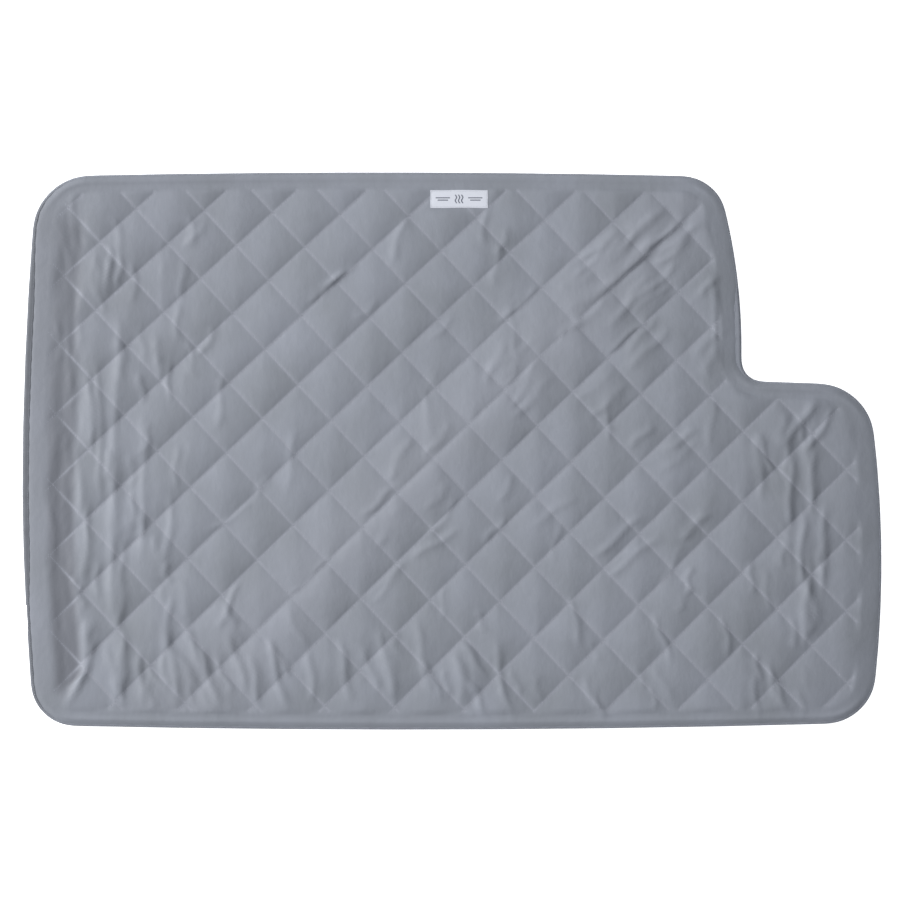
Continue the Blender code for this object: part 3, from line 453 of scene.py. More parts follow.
def face_height(x, y, depth, index):
    """The top of the face cover at each point, given its depth inside the outline."""
    edge, lip = border_width[index], lip_width[index]
    rising, falling = seam_counts(x, y)
    drawn = 0.30 * (1 - FAR[index]) * np.exp(-(np.maximum(depth - edge, 0) / (110 * MM)) ** 2)
    quilted = SEAM_LEVEL + PUFF * (1 - drawn) * puff(rising, falling, x, y)
    hollow_middle = 46 * MM + 7 * MM * np.sin(9 * y + 1) + 3 * MM * np.sin(31 * y)
    hollow = (0.80 + 0.12 * np.sin(14 * y + 2)) * LEFT[index]
    hollow *= np.exp(-((depth - edge - hollow_middle) / (27 * MM)) ** 4)
    quilted += (HOLLOW_LEVEL - quilted) * hollow
    start = smooth_step(depth, edge + 1 * MM, edge + 16 * MM)
    inner = quilted + folds(x, y) * (0.35 + 0.65 * start) * (1 - 0.55 * hollow)
    roll = np.clip((depth - lip) / (edge - lip), 0, 1)
    level_side = FAR[index] + NEAR[index]
    crown = roll ** (0.75 - 0.35 * level_side - 0.12 * LEFT[index])
    start_level = RIM_TOP / 2 + rim_profile(lip) - 0.9 * MM
    rise = 2.4 * MM - 1.2 * MM * level_side - 0.6 * MM * LEFT[index]
    plain = start_level + (SEAM_LEVEL + rise - start_level) * crown
    plain += 2.1 * MM * level_side * np.exp(-((depth - lip - 10 * MM) / (6 * MM)) ** 2)
    tucked = start_level - 0.6 * MM
    plain = np.where(depth < lip, tucked + (plain - tucked) * smooth_step(depth, lip - TUCK, lip), plain)
    blend = smooth_step(depth, edge - 3 * MM, edge + 9 * MM * (1 + 2.4 * LEFT[index]))
    height = plain + folds(x, y) * 0.5 * roll * (1 - blend) + (inner - plain) * blend
    height += drift(x, y) * smooth_step(depth, 0.0, edge)
    over = np.maximum(height - SOFT_LIMIT, 0) / (HIGHEST - SOFT_LIMIT)
    height = np.minimum(height, SOFT_LIMIT) + (HIGHEST - SOFT_LIMIT) * np.tanh(over)
    height = np.where(depth > edge, np.maximum(height, LOWEST), height)
    return flatten_for_label(x, y, height)


# %% [markdown]
# ## The mesh of the face
# Its edges should run with what is sewn, so the inner field is a grid laid along the seams, with every
# seam on a row of points, and the border is a band of rings that follow the outline. A narrow strip of
# triangles joins the two. A plain square grid would cut across the seams and blur them.

# %% Grid along the seams
SQUARE_STEPS = 20                            # cells between two seams, about 5 mm each
reach = int(1.15 / 0.1)
CROWDING = 0.2                              # how much closer the rows stand beside a seam
counts = np.arange(-reach * SQUARE_STEPS, reach * SQUARE_STEPS + 1)
marks = counts / SQUARE_STEPS
marks = marks - CROWDING * np.sin(2 * math.pi * marks) / (2 * math.pi)
grid_r, grid_f = np.meshgrid(marks, marks, indexing="ij")
grid_x, grid_y = place_of(grid_r, grid_f)
near_pad = (np.abs(grid_x) < 0.92) & (np.abs(grid_y) < 0.62)
grid_depth = np.full(grid_x.shape, -1.0)
grid_index = np.zeros(grid_x.shape, int)
grid_depth[near_pad], grid_index[near_pad] = inset_of(np.stack([grid_x[near_pad], grid_y[near_pad]], 1))
kept = grid_depth > border_width[grid_index] + 4 * MM
cells = kept[:-1, :-1] & kept[1:, :-1] & kept[:-1, 1:] & kept[1:, 1:]
print("cells in the quilted field:", int(cells.sum()))

# %% Join the grid to the border rings
RING_STEPS = 11
ring_share = np.linspace(0, 1, RING_STEPS + 1)
ring_depths = [lip_width - TUCK + (border_width - lip_width + TUCK) * s for s in ring_share]
used = np.zeros_like(kept)
for di in (0, 1):
    for dj in (0, 1):
        used[di:cells.shape[0] + di, dj:cells.shape[1] + dj] |= cells
number = np.full(kept.shape, -1)
number[used] = np.arange(used.sum())
ring_points = [outline - normals * d[:, None] for d in ring_depths]
points = np.vstack([np.stack([grid_x[used], grid_y[used]], 1), *ring_points])
first_ring = int(used.sum())
ci, cj = np.nonzero(cells)
quads = np.stack([number[ci, cj], number[ci + 1, cj], number[ci + 1, cj + 1], number[ci, cj + 1]], 1)
sides = np.concatenate([quads[:, [k, (k + 1) % 4]] for k in range(4)])
keys, times = np.unique(np.sort(sides, 1), axis=0, return_counts=True)
stairs = keys[times == 1]
inner_ring = first_ring + RING_STEPS * RIM_COUNT + np.arange(RIM_COUNT)
loop = np.stack([inner_ring, np.roll(inner_ring, -1)], 1)
strip_ids = np.unique(np.concatenate([stairs.ravel(), inner_ring]))
local = {int(k): n for n, k in enumerate(strip_ids)}
strip = delaunay_2d_cdt([Vector(points[k]) for k in strip_ids],
                        [(local[int(a)], local[int(b)]) for a, b in np.vstack([stairs, loop])],
                        [], 0, 1e-7, True)
origin = [int(strip_ids[ids[0]]) for ids in strip[3]]
triangles = np.array([[origin[k] for k in f] for f in strip[2]])
fences = {(int(a), int(b)) for a, b in np.sort(np.vstack([stairs, loop]), 1)}
beside = {}
for k, corners in enumerate(triangles):
    for a, b in ((0, 1), (1, 2), (2, 0)):
        beside.setdefault((int(min(corners[a], corners[b])), int(max(corners[a], corners[b]))), []).append(k)
centres = points[triangles].mean(1)
in_depth, in_index = inset_of(centres)
queue = [k for k in range(len(triangles)) if (triangles[k] >= first_ring).sum() == 2
         and border_width[in_index[k]] + 0.3 * MM < in_depth[k] < border_width[in_index[k]] + 6 * MM]
wanted = set(queue)
while queue:
    corners = triangles[queue.pop()]
    for a, b in ((0, 1), (1, 2), (2, 0)):
        edge = (int(min(corners[a], corners[b])), int(max(corners[a], corners[b])))
        if edge not in fences:
            onward = [k for k in beside[edge] if k not in wanted]
            wanted.update(onward)
            queue.extend(onward)
triangles = triangles[sorted(wanted)]
turn = np.cross(points[triangles[:, 1]] - points[triangles[:, 0]], points[triangles[:, 2]] - points[triangles[:, 0]])
triangles[turn < 0] = triangles[turn < 0][:, ::-1]
ring_quads = []
for k in range(RING_STEPS):
    a = first_ring + k * RIM_COUNT + np.arange(RIM_COUNT)
    b = a + RIM_COUNT
    ring_quads.append(np.stack([a, np.roll(a, -1), np.roll(b, -1), b], 1))
ring_quads = np.concatenate(ring_quads)
turn = np.cross(points[quads[:, 1]] - points[quads[:, 0]], points[quads[:, 3]] - points[quads[:, 0]])
if turn.mean() < 0:
    quads = quads[:, ::-1]
face_polygons = [list(map(int, f)) for f in quads] + [list(map(int, f)) for f in triangles] \
    + [list(map(int, f)) for f in ring_quads]
depth, index = inset_of(points)
heights = face_height(points[:, 0], points[:, 1], depth, index)
print("points:", len(points), "faces:", len(face_polygons), "height:", heights.min().round(4), heights.max().round(4))


# %% [markdown]
# ## Finishes
# Each finish is named for the real material and built from its own pattern: a weave is two crossed waves,
# felt and wadding are layered noise, foil is metal with a crinkle. Real threads are 0.2 to 0.5 mm apart,
# far too fine to show from six metres, so the weaves are drawn a few times coarser. The patterns drive
# the bump and a slight change of tone, so that a close view shows cloth and a far view shows colour.


# %% Helpers for finishes
def finish(name, colour, roughness, metallic=0.0, ior=1.5):
    """A material with its plain values set on the shader, and its node tree and shader to build on."""
    made = bpy.data.materials.new(name)
    made.use_nodes = True
    shader = made.node_tree.nodes["Principled BSDF"]
    shader.inputs["Base Color"].default_value = linear(colour)
    shader.inputs["Roughness"].default_value = roughness
    shader.inputs["Metallic"].default_value = metallic
    shader.inputs["IOR"].default_value = ior
    return made, made.node_tree, shader


def tint(tree, shader, mask, low, high, start=0.3, end=0.7):
    """Colours the shader between two hex colours by a mask."""
    ramp = add(tree, "ShaderNodeValToRGB", {"Fac": mask})
    ramp.color_ramp.elements[0].position, ramp.color_ramp.elements[1].position = start, end
    ramp.color_ramp.elements[0].color, ramp.color_ramp.elements[1].color = linear(low), linear(high)
    tree.links.new(ramp.outputs["Color"], shader.inputs["Base Color"])
    return ramp


def relief(tree, shader, height, distance, strength=1.0, below=None):
    """Adds a bump of a real height in metres, on top of another bump if one is given."""
    links = {"Height": height, "Distance": distance, "Strength": strength}
    if below is not None:
        links["Normal"] = below
    bump = add(tree, "ShaderNodeBump", links)
    tree.links.new(bump.outputs["Normal"], shader.inputs["Normal"])
    return bump.outputs["Normal"]


def threads(tree, spacing, source="Object", turn=0.0):
    """A plain weave: two sets of crossed threads, as a height from 0 to 1."""
    place = add(tree, "ShaderNodeTexCoord").outputs[source]
    turned = add(tree, "ShaderNodeMapping", {"Vector": place, "Rotation": (0, 0, turn)}).outputs["Vector"]
    scale = 1 / (2 * spacing) / math.pi
    sets = [add(tree, "ShaderNodeTexWave", {"Vector": turned, "Scale": scale, "Distortion": 0.25,
                                            "Detail": 1.0, "Detail Scale": 0.3},
                wave_type="BANDS", bands_direction=axis).outputs["Fac"] for axis in ("X", "Y")]
    return add(tree, "ShaderNodeMath", {0: sets[0], 1: sets[1]}, operation="MAXIMUM").outputs["Value"]


def noise(tree, scale, detail=3.0, source="Object", stretch=(1, 1, 1), roughness=0.5):
    """Noise in object space or on the piece's own map, stretched if asked."""
    place = add(tree, "ShaderNodeTexCoord").outputs[source]
    sized = add(tree, "ShaderNodeMapping", {"Vector": place, "Scale": stretch}).outputs["Vector"]
    return add(tree, "ShaderNodeTexNoise",
               {"Vector": sized, "Scale": scale, "Detail": detail, "Roughness": roughness}).outputs["Fac"]


def varied_roughness(tree, shader, mask, low, high):
    spread = add(tree, "ShaderNodeMapRange", {"Value": mask, "To Min": low, "To Max": high})
    tree.links.new(spread.outputs["Result"], shader.inputs["Roughness"])


# %% [markdown]
# ### Cloths that show
# The face is polyester satin with a thin wipe-clean coating. Satin floats give it a low, broad shine, and
# the coating makes it even. The binding is a plain-weave tape, duller and a little darker. The base is
# Oxford cloth, a basket weave of thick yarn that is coated so that it won't slip or soak.

# %% Face satin, binding tape and Oxford base cloth
satin, tree, shader = finish("satin_coated_polyester", "757A84", 0.62)
shader.inputs["Specular IOR Level"].default_value = 0.3
shader.inputs["Sheen Weight"].default_value = 0.12
shader.inputs["Sheen Roughness"].default_value = 0.4
slow = noise(tree, 7.0, 3.0)
colour = tint(tree, shader, slow, "757980", "7E828B")
# Point attributes colour the satin: darker as painted shade in places, lighter along the seams and in a painted
# highlight band.
seam_and_highlight_share = add(tree, "ShaderNodeAttribute", attribute_name="seam_lines_and_painted_highlight").outputs["Fac"]
painted_shade_mask = add(tree, "ShaderNodeAttribute", attribute_name="painted_shade").outputs["Fac"]


def mixed(share, under, over_hex):
    """Mixes a colour socket towards a hex colour by a share."""
    mix = add(tree, "ShaderNodeMix", data_type="RGBA")
    tree.links.new(share, mix.inputs[0])
    tree.links.new(under, mix.inputs[6])
    mix.inputs[7].default_value = linear(over_hex)
    return mix.outputs[2]


# Painted shade darkens the satin first; then the seams and the painted highlight band lighten it.
darker = mixed(painted_shade_mask, colour.outputs["Color"], "5E6067")
tree.links.new(mixed(seam_and_highlight_share, darker, "858891"), shader.inputs["Base Color"])
varied_roughness(tree, shader, noise(tree, 26.0, 4.0), 0.56, 0.68)
yarn = relief(tree, shader, threads(tree, 1.1 * MM, turn=0.0), 0.05 * MM, 0.35)
creases = relief(tree, shader, noise(tree, 34.0, 5.0, stretch=(1.5, 1, 1), roughness=0.55), 1.6 * MM, 0.6, yarn)
relief(tree, shader, noise(tree, 55.0, 4.0), 0.35 * MM, 0.35, creases)

tape, tree, shader = finish("plain_weave_binding_tape", "5E6168", 0.72)
# Painted shade: the tape is coloured darker along the left side of the pad; a noise adds a random change of tone.
left_shade_share = add(tree, "ShaderNodeAttribute", attribute_name="painted_left_shade").outputs["Fac"]
tone_and_painted_shade = add(tree, "ShaderNodeMath", {0: noise(tree, 40.0, 3.0), 1: 0.35}, operation="MULTIPLY").outputs["Value"]
shade = add(tree, "ShaderNodeMath", {0: left_shade_share, 1: 0.75}, operation="MULTIPLY").outputs["Value"]
light = add(tree, "ShaderNodeMath", {0: 0.75, 1: shade}, operation="SUBTRACT").outputs["Value"]
mask = add(tree, "ShaderNodeMath", {0: light, 1: tone_and_painted_shade}, operation="ADD").outputs["Value"]
tint(tree, shader, mask, "4C4F55", "7C8089", 0.0, 1.0)
yarn = relief(tree, shader, threads(tree, 1.0 * MM, "UV"), 0.12 * MM, 0.6)
relief(tree, shader, noise(tree, 90.0, 3.0), 0.3 * MM, 0.4, yarn)

oxford, tree, shader = finish("coated_oxford_cloth", "4A4D54", 0.62)
basket = threads(tree, 1.6 * MM)
tint(tree, shader, basket, "3E4147", "53565D", 0.1, 0.9)
yarn = relief(tree, shader, basket, 0.25 * MM, 0.8)
relief(tree, shader, noise(tree, 12.0, 4.0), 1.0 * MM, 0.3, yarn)

thread, tree, shader = finish("polyester_sewing_thread", "868A94", 0.5)
tint(tree, shader, noise(tree, 900.0, 2.0), "7C808A", "90949E")

# %% [markdown]
# ### Layers inside
# None of these show while the blanket is whole, but each is a sheet of its own and is finished as one.

# %% Wadding, fleeces, glass cloth, foil and felt
wadding, tree, shader = finish("polyester_wadding", "E6E7E4", 0.95)
tint(tree, shader, noise(tree, 130.0, 5.0, roughness=0.7), "D9DAD7", "F0F1EE")
relief(tree, shader, noise(tree, 260.0, 6.0, roughness=0.75), 1.2 * MM, 0.9)

fleece, tree, shader = finish("spunbond_backing_fleece", "8C9096", 0.85)
tint(tree, shader, noise(tree, 500.0, 4.0, roughness=0.7), "7F8389", "989CA2")
relief(tree, shader, noise(tree, 700.0, 4.0), 0.15 * MM, 0.8)

glass, tree, shader = finish("woven_glass_cloth", "D8D9CF", 0.4)
weave = threads(tree, 1.3 * MM)
tint(tree, shader, weave, "BDBEB3", "E4E5DC", 0.1, 0.9)
relief(tree, shader, weave, 0.2 * MM, 0.8)

carrier, tree, shader = finish("needled_carrier_fleece", "C9C4B6", 0.9)
tint(tree, shader, noise(tree, 350.0, 5.0, roughness=0.7), "BBB6A8", "D5D0C3")
relief(tree, shader, noise(tree, 420.0, 5.0), 0.25 * MM, 0.8)

foil, tree, shader = finish("aluminised_film", "DADCDE", 0.24, metallic=1.0)
crinkle = add(tree, "ShaderNodeTexVoronoi", {"Vector": add(tree, "ShaderNodeTexCoord").outputs["Object"],
                                             "Scale": 38.0}).outputs["Distance"]
varied_roughness(tree, shader, noise(tree, 20.0, 3.0), 0.18, 0.32)
relief(tree, shader, crinkle, 0.8 * MM, 0.6)

felt, tree, shader = finish("needle_punched_felt", "9B9C9E", 0.97)
tint(tree, shader, noise(tree, 300.0, 6.0, roughness=0.8), "86878A", "ABACAE")
relief(tree, shader, noise(tree, 380.0, 6.0, roughness=0.8), 0.6 * MM, 0.9)


# %% [markdown]
# ### Wire, plastic and metal
# Silicone jackets are soft and slightly milky, heat-shrink sleeves are glossier, and the inlet is a dark
# ABS moulding with a fine spark texture. The metal parts are plated, with a trace of wear.

# %% Jackets, mouldings and plated parts
def jacket(name, colour, roughness=0.42):
    made, tree, shader = finish(name, colour, roughness, ior=1.42)
    varied_roughness(tree, shader, noise(tree, 180.0, 3.0), roughness - 0.08, roughness + 0.1)
    relief(tree, shader, noise(tree, 500.0, 2.0), 0.05 * MM, 0.5)
    return made


def moulding(name, colour, roughness=0.5):
    made, tree, shader = finish(name, colour, roughness, ior=1.53)
    grain = noise(tree, 1400.0, 3.0, roughness=0.6)
    varied_roughness(tree, shader, noise(tree, 60.0, 4.0), roughness - 0.06, roughness + 0.08)
    relief(tree, shader, grain, 0.04 * MM, 0.7)
    return made


def plated(name, colour, roughness=0.25):
    made, tree, shader = finish(name, colour, roughness, metallic=1.0)
    varied_roughness(tree, shader, noise(tree, 220.0, 5.0, roughness=0.7), roughness - 0.08, roughness + 0.15)
    relief(tree, shader, noise(tree, 900.0, 2.0, stretch=(1, 1, 6)), 0.02 * MM, 0.5)
    return made


CAD_FINISHES = {
    "heating_cable": jacket("silicone_heater_jacket", "C9CDD2"),
    "live_lead": jacket("live_lead_silicone", "6B3A2A"),
    "return_lead": jacket("return_lead_silicone", "2F4A7A"),
    "sensor_lead": jacket("sensor_lead_silicone", "D8D4C6"),
    "splice": jacket("heat_shrink_sleeve", "26272A", 0.34),
    "temperature_sensor": jacket("sensor_bead_epoxy", "3A3B36", 0.3),
    "thermal_cutout": plated("tinned_cutout_case", "B9BBBE", 0.32),
    "inlet_lower_shell": moulding("inlet_abs_dark_grey", "2B2D31"),
    "inlet_upper_shell": moulding("inlet_abs_dark_grey_top", "2D2F33"),
    "inlet_pin_carrier": moulding("glass_filled_nylon", "18191B", 0.58),
    "inlet_power_pin": plated("nickel_plated_brass", "D9D2BE", 0.22),
    "inlet_signal_pin": plated("gold_flashed_pin", "D8B765", 0.24),
    "inlet_screw": plated("zinc_plated_steel", "A9ADB3", 0.3),
}
CAD_FINISHES["link_lead"] = CAD_FINISHES["return_lead"]
finished = 0
for name, thing in nodes.items():
    kind = next((k for k in CAD_FINISHES if k in name), None)
    if kind:
        thing.data.materials.clear()
        thing.data.materials.append(CAD_FINISHES[kind])
        finished += 1
print("solid pieces given a finish:", finished)


# %% [markdown]
# ## The face as cloth
# The relief above is what shows. The face is then let go as a cloth for a moment: the seams and the border
# are pinned, the squares between them are cut a little too big and a light pressure lifts them. This evens
# the relief, by about a tenth of a millimetre on average and two or three at most. How far a point may
# move is capped, so that the face stays within the room that the model gives it.

# %% Make the face object and let it settle
def new_piece(name, vertices, faces, material=None, sharp=None):
    mesh = bpy.data.meshes.new(name)
    mesh.from_pydata([tuple(map(float, v)) for v in vertices], [], [tuple(map(int, f)) for f in faces])
    mesh.update()
    mesh.shade_smooth()
    if sharp:
        mesh.set_sharp_from_angle(angle=math.radians(sharp))
    made = bpy.data.objects.new(name, mesh)
    bpy.context.scene.collection.objects.link(made)
    if material:
        mesh.materials.append(material)
    return made


def both(piece):
    """Bakes the piece's placement into its mesh and returns it."""
    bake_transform(piece)
    return piece


FOLD_WIDTH = 60 * MM
face = new_piece("quilted_face", np.column_stack([points, heights]), face_polygons, satin)
seam_gap = np.abs(np.stack([(c - np.round(c)) * RISING_PITCH for c in seam_counts(points[:, 0], points[:, 1])]))
SEAM_WIDTH = 2.6 * MM
in_field = smooth_step(depth, border_width[index], border_width[index] + 6 * MM)
# Lighter along the seams, and a painted highlight: a broad lighter band on the diagonal from the near left to the far
# right. Both fade beside the left border and are left off the plain border.
seam_and_highlight_mark = face.data.attributes.new("seam_lines_and_painted_highlight", "FLOAT", "POINT")
seam_and_highlight_share = np.exp(-(seam_gap.min(0) / SEAM_WIDTH) ** 2)
across_highlight_band = (points[:, 0] - points[:, 1] + 0.02) / math.sqrt(2)
seam_and_highlight_share = np.maximum(seam_and_highlight_share, 0.45 * np.exp(-(across_highlight_band / (85 * MM)) ** 2))
beyond = depth - border_width[index]
seam_and_highlight_share *= 1 - 0.8 * LEFT[index] * (1 - smooth_step(beyond, 22 * MM, 60 * MM))
seam_and_highlight_mark.data.foreach_set("value", (seam_and_highlight_share * in_field).astype(np.float32))
# Painted shade: the satin is coloured darker in the slack beside the left border, more so towards the near side, on
# the left border itself, in the far left part and towards the right side.
tone_and_painted_shade = LEFT[index] * smooth_step(beyond, 0, 16 * MM) * (1 - smooth_step(beyond, 52 * MM, 78 * MM))
tone_and_painted_shade *= 0.55 + 0.45 * smooth_step(-points[:, 1], -0.30, 0.30)
tone_and_painted_shade += 0.30 * LEFT[index] * (1 - smooth_step(beyond, -2 * MM, 14 * MM))
tone_and_painted_shade += 0.22 * smooth_step(0.8 * points[:, 1] - points[:, 0], 0.55, 1.0)
tone_and_painted_shade += 0.12 * smooth_step(points[:, 0], 0.42, 0.80)
painted_shade_mark = face.data.attributes.new("painted_shade", "FLOAT", "POINT")
painted_shade_mark.data.foreach_set("value", (0.75 * tone_and_painted_shade).astype(np.float32))
on_seam = np.zeros(kept.shape, bool)
on_seam[counts % SQUARE_STEPS == 0, :] = True
on_seam[:, counts % SQUARE_STEPS == 0] = True
free = np.zeros(len(points), bool)
free[:first_ring] = ~on_seam[used]
free[:first_ring] &= depth[:first_ring] > border_width[index[:first_ring]] + 12 * MM
free &= np.hypot(np.maximum(np.abs(points[:, 0] - label_middle.x) - label_half.x, 0),
                 np.maximum(np.abs(points[:, 1] - label_middle.y) - label_half.y, 0)) > 8 * MM
print("free points:", int(free.sum()), "of", len(points))


def settle(piece, free, slack, pressure, frames, cap):
    """Lets the free points buckle and puff up, and returns where they end, no further than the cap."""
    start = np.array([v.co for v in piece.data.vertices])
    pins = piece.vertex_groups.new(name="pinned")
    pins.add([int(k) for k in np.flatnonzero(~free)], 1.0, "REPLACE")
    piece.shape_key_add(name="start")
    rest = piece.shape_key_add(name="cut")
    wide = start * np.array([1 + slack[0], 1 + slack[1], 1.0])
    rest.data.foreach_set("co", wide.ravel())
    cloth = piece.modifiers.new("settle", "CLOTH")
    how = cloth.settings
    how.quality, how.mass, how.air_damping = 4, 0.15, 6.0
    how.tension_stiffness, how.compression_stiffness, how.shear_stiffness = 12.0, 12.0, 4.0
    how.tension_damping, how.compression_damping, how.shear_damping = 8.0, 8.0, 4.0
    how.bending_stiffness, how.bending_damping = 0.15, 0.5
    how.vertex_group_mass, how.rest_shape_key = "pinned", rest
    how.use_pressure, how.uniform_pressure_force = True, pressure
    how.effector_weights.gravity = 0.0
    cloth.collision_settings.use_collision = False
    cloth.point_cache.frame_start, cloth.point_cache.frame_end = 1, frames
    for step in range(1, frames + 1):
        bpy.context.scene.frame_set(step)
    after = piece.evaluated_get(bpy.context.evaluated_depsgraph_get())
    end = np.array([v.co for v in after.data.vertices])
    piece.modifiers.remove(cloth)
    piece.shape_key_clear()
    piece.vertex_groups.clear()
    bpy.context.scene.frame_set(1)
    move = end - start
    far = np.linalg.norm(move, axis=1, keepdims=True)
    return start + move * np.minimum(1, cap / np.maximum(far, 1e-9)), far.ravel()


settled, moved = settle(face, free, slack=(0.011, 0.007), pressure=1.2, frames=16, cap=6 * MM)
settled[:, 2] = np.minimum(settled[:, 2], HIGHEST)
settled[:, 2] = np.maximum(settled[:, 2], np.maximum(heights - 2.2 * MM, np.minimum(heights, LOWEST)))
face.data.vertices.foreach_set("co", settled.ravel())
face.data.update()
print("moved by", (moved[free].mean() / MM).round(2), "mm on average, at most", (moved.max() / MM).round(2))

# %% [markdown]
# ## The flat layers
# Every hidden layer is the outline moved in by a seam allowance, filled with triangles and given its
# thickness. A constrained triangulation keeps the rim exact and takes the pocket for the power inlet as
# well. Rows of points close together at the fold let each sheet bend smoothly there.

# %% A sheet cut to the outline
inlet_low = Vector(map(min, *(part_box(n)[0] for n in ("inlet_lower_shell", "inlet_upper_shell"))))
inlet_high = Vector(map(max, *(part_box(n)[1] for n in ("inlet_lower_shell", "inlet_upper_shell"))))
CLEARANCE = 0.6 * MM
BEND_STEP = 4 * MM                          # rows of points this close let a layer bend smoothly


def cut_plan(inset, spacing, pocket):
    """Points and triangles of the outline moved in, with the inlet's pocket left out if asked."""
    ring = outline - normals * inset
    n = len(ring)
    columns = np.arange(-0.9, 0.9, spacing)
    rows = np.r_[np.arange(-0.6, 0, spacing), np.arange(0, FOLD_WIDTH, BEND_STEP), np.arange(FOLD_WIDTH, 0.6, spacing)]
    inner = np.stack(np.meshgrid(columns, rows), -1).reshape(-1, 2)
    deep, _ = inset_of(inner)
    inner = inner[deep > inset + 0.45 * spacing]
    edges = [(k, (k + 1) % n) for k in range(n)]
    extra = np.zeros((0, 2))
    if pocket:
        x0, x1 = inlet_low.x - 0.03, inlet_high.x + CLEARANCE
        y0, y1 = inlet_low.y - CLEARANCE, inlet_high.y + CLEARANCE
        extra = np.array([(x0, y0), (x1, y0), (x1, y1), (x0, y1)])
        edges += [(n + a, n + b) for a, b in ((0, 1), (1, 2), (2, 3))]
    every = np.vstack([ring, extra, inner])
    made = delaunay_2d_cdt([Vector(p) for p in every], edges, [], 0, 1e-7, False)
    flat = np.array([tuple(v) for v in made[0]])
    faces = np.array([tuple(f) for f in made[2]])
    centre = flat[faces].mean(1)
    deep, _ = inset_of(centre)
    inside = deep > inset - 0.2 * MM
    if pocket:
        inside &= ~((centre[:, 0] < x1) & (centre[:, 1] > y0) & (centre[:, 1] < y1))
    faces = faces[inside]
    a, b, c = (flat[faces[:, k]] for k in range(3))
    backward = np.cross(b - a, c - a) < 0
    faces[backward] = faces[backward][:, ::-1]
    return flat, faces


def sheet_piece(name, material, inset, low, high, spacing=34 * MM, pocket=True):
    """A closed layer between two heights; each height is a number or a function of the plan points."""
    flat, faces = cut_plan(inset, spacing, pocket)
    n = len(flat)
    levels = [h(flat) if callable(h) else np.full(n, h) for h in (low, high)]
    vertices = np.vstack([np.column_stack([flat, z]) for z in levels])
    run = np.concatenate([faces[:, [0, 1]], faces[:, [1, 2]], faces[:, [2, 0]]])
    there = {(int(a), int(b)) for a, b in run}
    walls = [(a, b, b + n, a + n) for a, b in there if (b, a) not in there]
    shell = [tuple(f + n) for f in faces] + [tuple(f[::-1]) for f in faces] + sorted(walls)
    used = sorted({int(v) for f in shell for v in f})
    place = {v: k for k, v in enumerate(used)}
    return new_piece(name, vertices[used], [[place[int(v)] for v in f] for f in shell], material, 40)


# %% Cut the hidden layers
LAYER_NAMES = {
    "insulation_felt": (felt, "felt", "laid"), "reflective_foil": (foil, "foil", "laid"),
    "heater_carrier": (carrier, "carrier_fleece", "laid"), "heat_spreader": (glass, "glass_cloth", "laid"),
    "quilt_backing": (fleece, "backing", "laid"),
}
layers = {}
for name, (material, slot, held) in LAYER_NAMES.items():
    low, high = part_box("base_" + name)
    inset = low.x - cad_low.x + 3 * MM
    layers[name] = sheet_piece(name, material, inset, low.z, high.z)
    both(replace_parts(layers[name], "base_" + name, "flap_" + name))


# %% Wadding and base cloth
def under_face(flat):
    """The top of the wadding: the face's relief, a little lower and softer."""
    deep, near = inset_of(flat)
    above = face_height(flat[:, 0], flat[:, 1], deep, near)
    return BATTING_LOW + np.maximum(above - 3.4 * MM - BATTING_LOW, 0.3 * MM) * 0.75


BATTING_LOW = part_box("base_quilt_batting")[0].z
batting_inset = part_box("base_quilt_batting")[0].x - cad_low.x + 14 * MM
batting = sheet_piece("quilt_batting", wadding, batting_inset, BATTING_LOW, under_face, 14 * MM)
both(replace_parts(batting, "base_quilt_batting", "flap_quilt_batting"))

cover_low, cover_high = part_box("base_bottom_cover")
bottom_cover = sheet_piece("bottom_cover", oxford, LIP - 3 * MM, cover_low.z + 0.35 * MM, cover_high.z, pocket=False)
both(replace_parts(bottom_cover, "base_bottom_cover", "flap_bottom_cover"))

# %% [markdown]
# ## The binding
# One strip of tape is folded over the raw edge of all the layers and sewn through. From above it shows as
# a narrow lip, widest on the left where it was pulled over. It could be a bevelled curve, but a tube has
# no lips, so its cross-section is drawn as a closed loop, with the tape's thickness, and carried round the
# outline. The window for the power inlet is cut through it afterwards.

# %% Carry the tape's section round the outline
TAPE_THICK = 0.8 * MM
BOTTOM_LIP = LIP
SECTION_STEPS = 8


quarter = np.sin(np.linspace(0, math.pi / 2, SECTION_STEPS + 1))
ripple = np.sin(np.arange(RIM_COUNT) * RIM_STEP / (31 * MM) * 2 * math.pi + 2 * np.sin(np.arange(RIM_COUNT) * 0.09))
upper = lip_width + 0.4 * MM * ripple
section = []
for inner in (0.0, TAPE_THICK):
    path = []
    for q in quarter[:-1]:                        # the upper lip, from its edge out to the rim
        path.append((upper * (1 - q), 1))
    path.append((np.zeros(RIM_COUNT), 0))
    for q in quarter[:-1][::-1]:                  # the lower lip, from the rim in to its edge
        path.append((np.full(RIM_COUNT, BOTTOM_LIP * (1 - q)), -1))
    rows = []
    for inset, side in path:
        shift = inner * (1 - np.minimum(inset, RIM_ROUND) / RIM_ROUND)
        z = RIM_TOP / 2 + side * (rim_profile(inset) - inner * np.minimum(inset, RIM_ROUND) / RIM_ROUND)
        lift = 0.2 * MM * ripple * (side > 0)
        spot = outline - normals * (inset + shift)[:, None]
        rows.append(np.column_stack([spot, z + lift]))
    section.append(rows)
around = section[0] + section[1][::-1]
vertices = np.concatenate(around)
wide = len(around)
faces = [(k * RIM_COUNT + i, k * RIM_COUNT + (i + 1) % RIM_COUNT,
          (k + 1) % wide * RIM_COUNT + (i + 1) % RIM_COUNT, (k + 1) % wide * RIM_COUNT + i)
         for k in range(wide) for i in range(RIM_COUNT)]
binding = new_piece("edge_binding", vertices, faces, tape, 60)
# Painted shade: marks the tape on the left side of the pad, which its material colours darker.
left_shade_mark = binding.data.attributes.new("painted_left_shade", "FLOAT", "POINT")
left_shade_mark.data.foreach_set("value", np.tile(np.clip(LEFT * 1.2, 0, 1), wide).astype(np.float32))

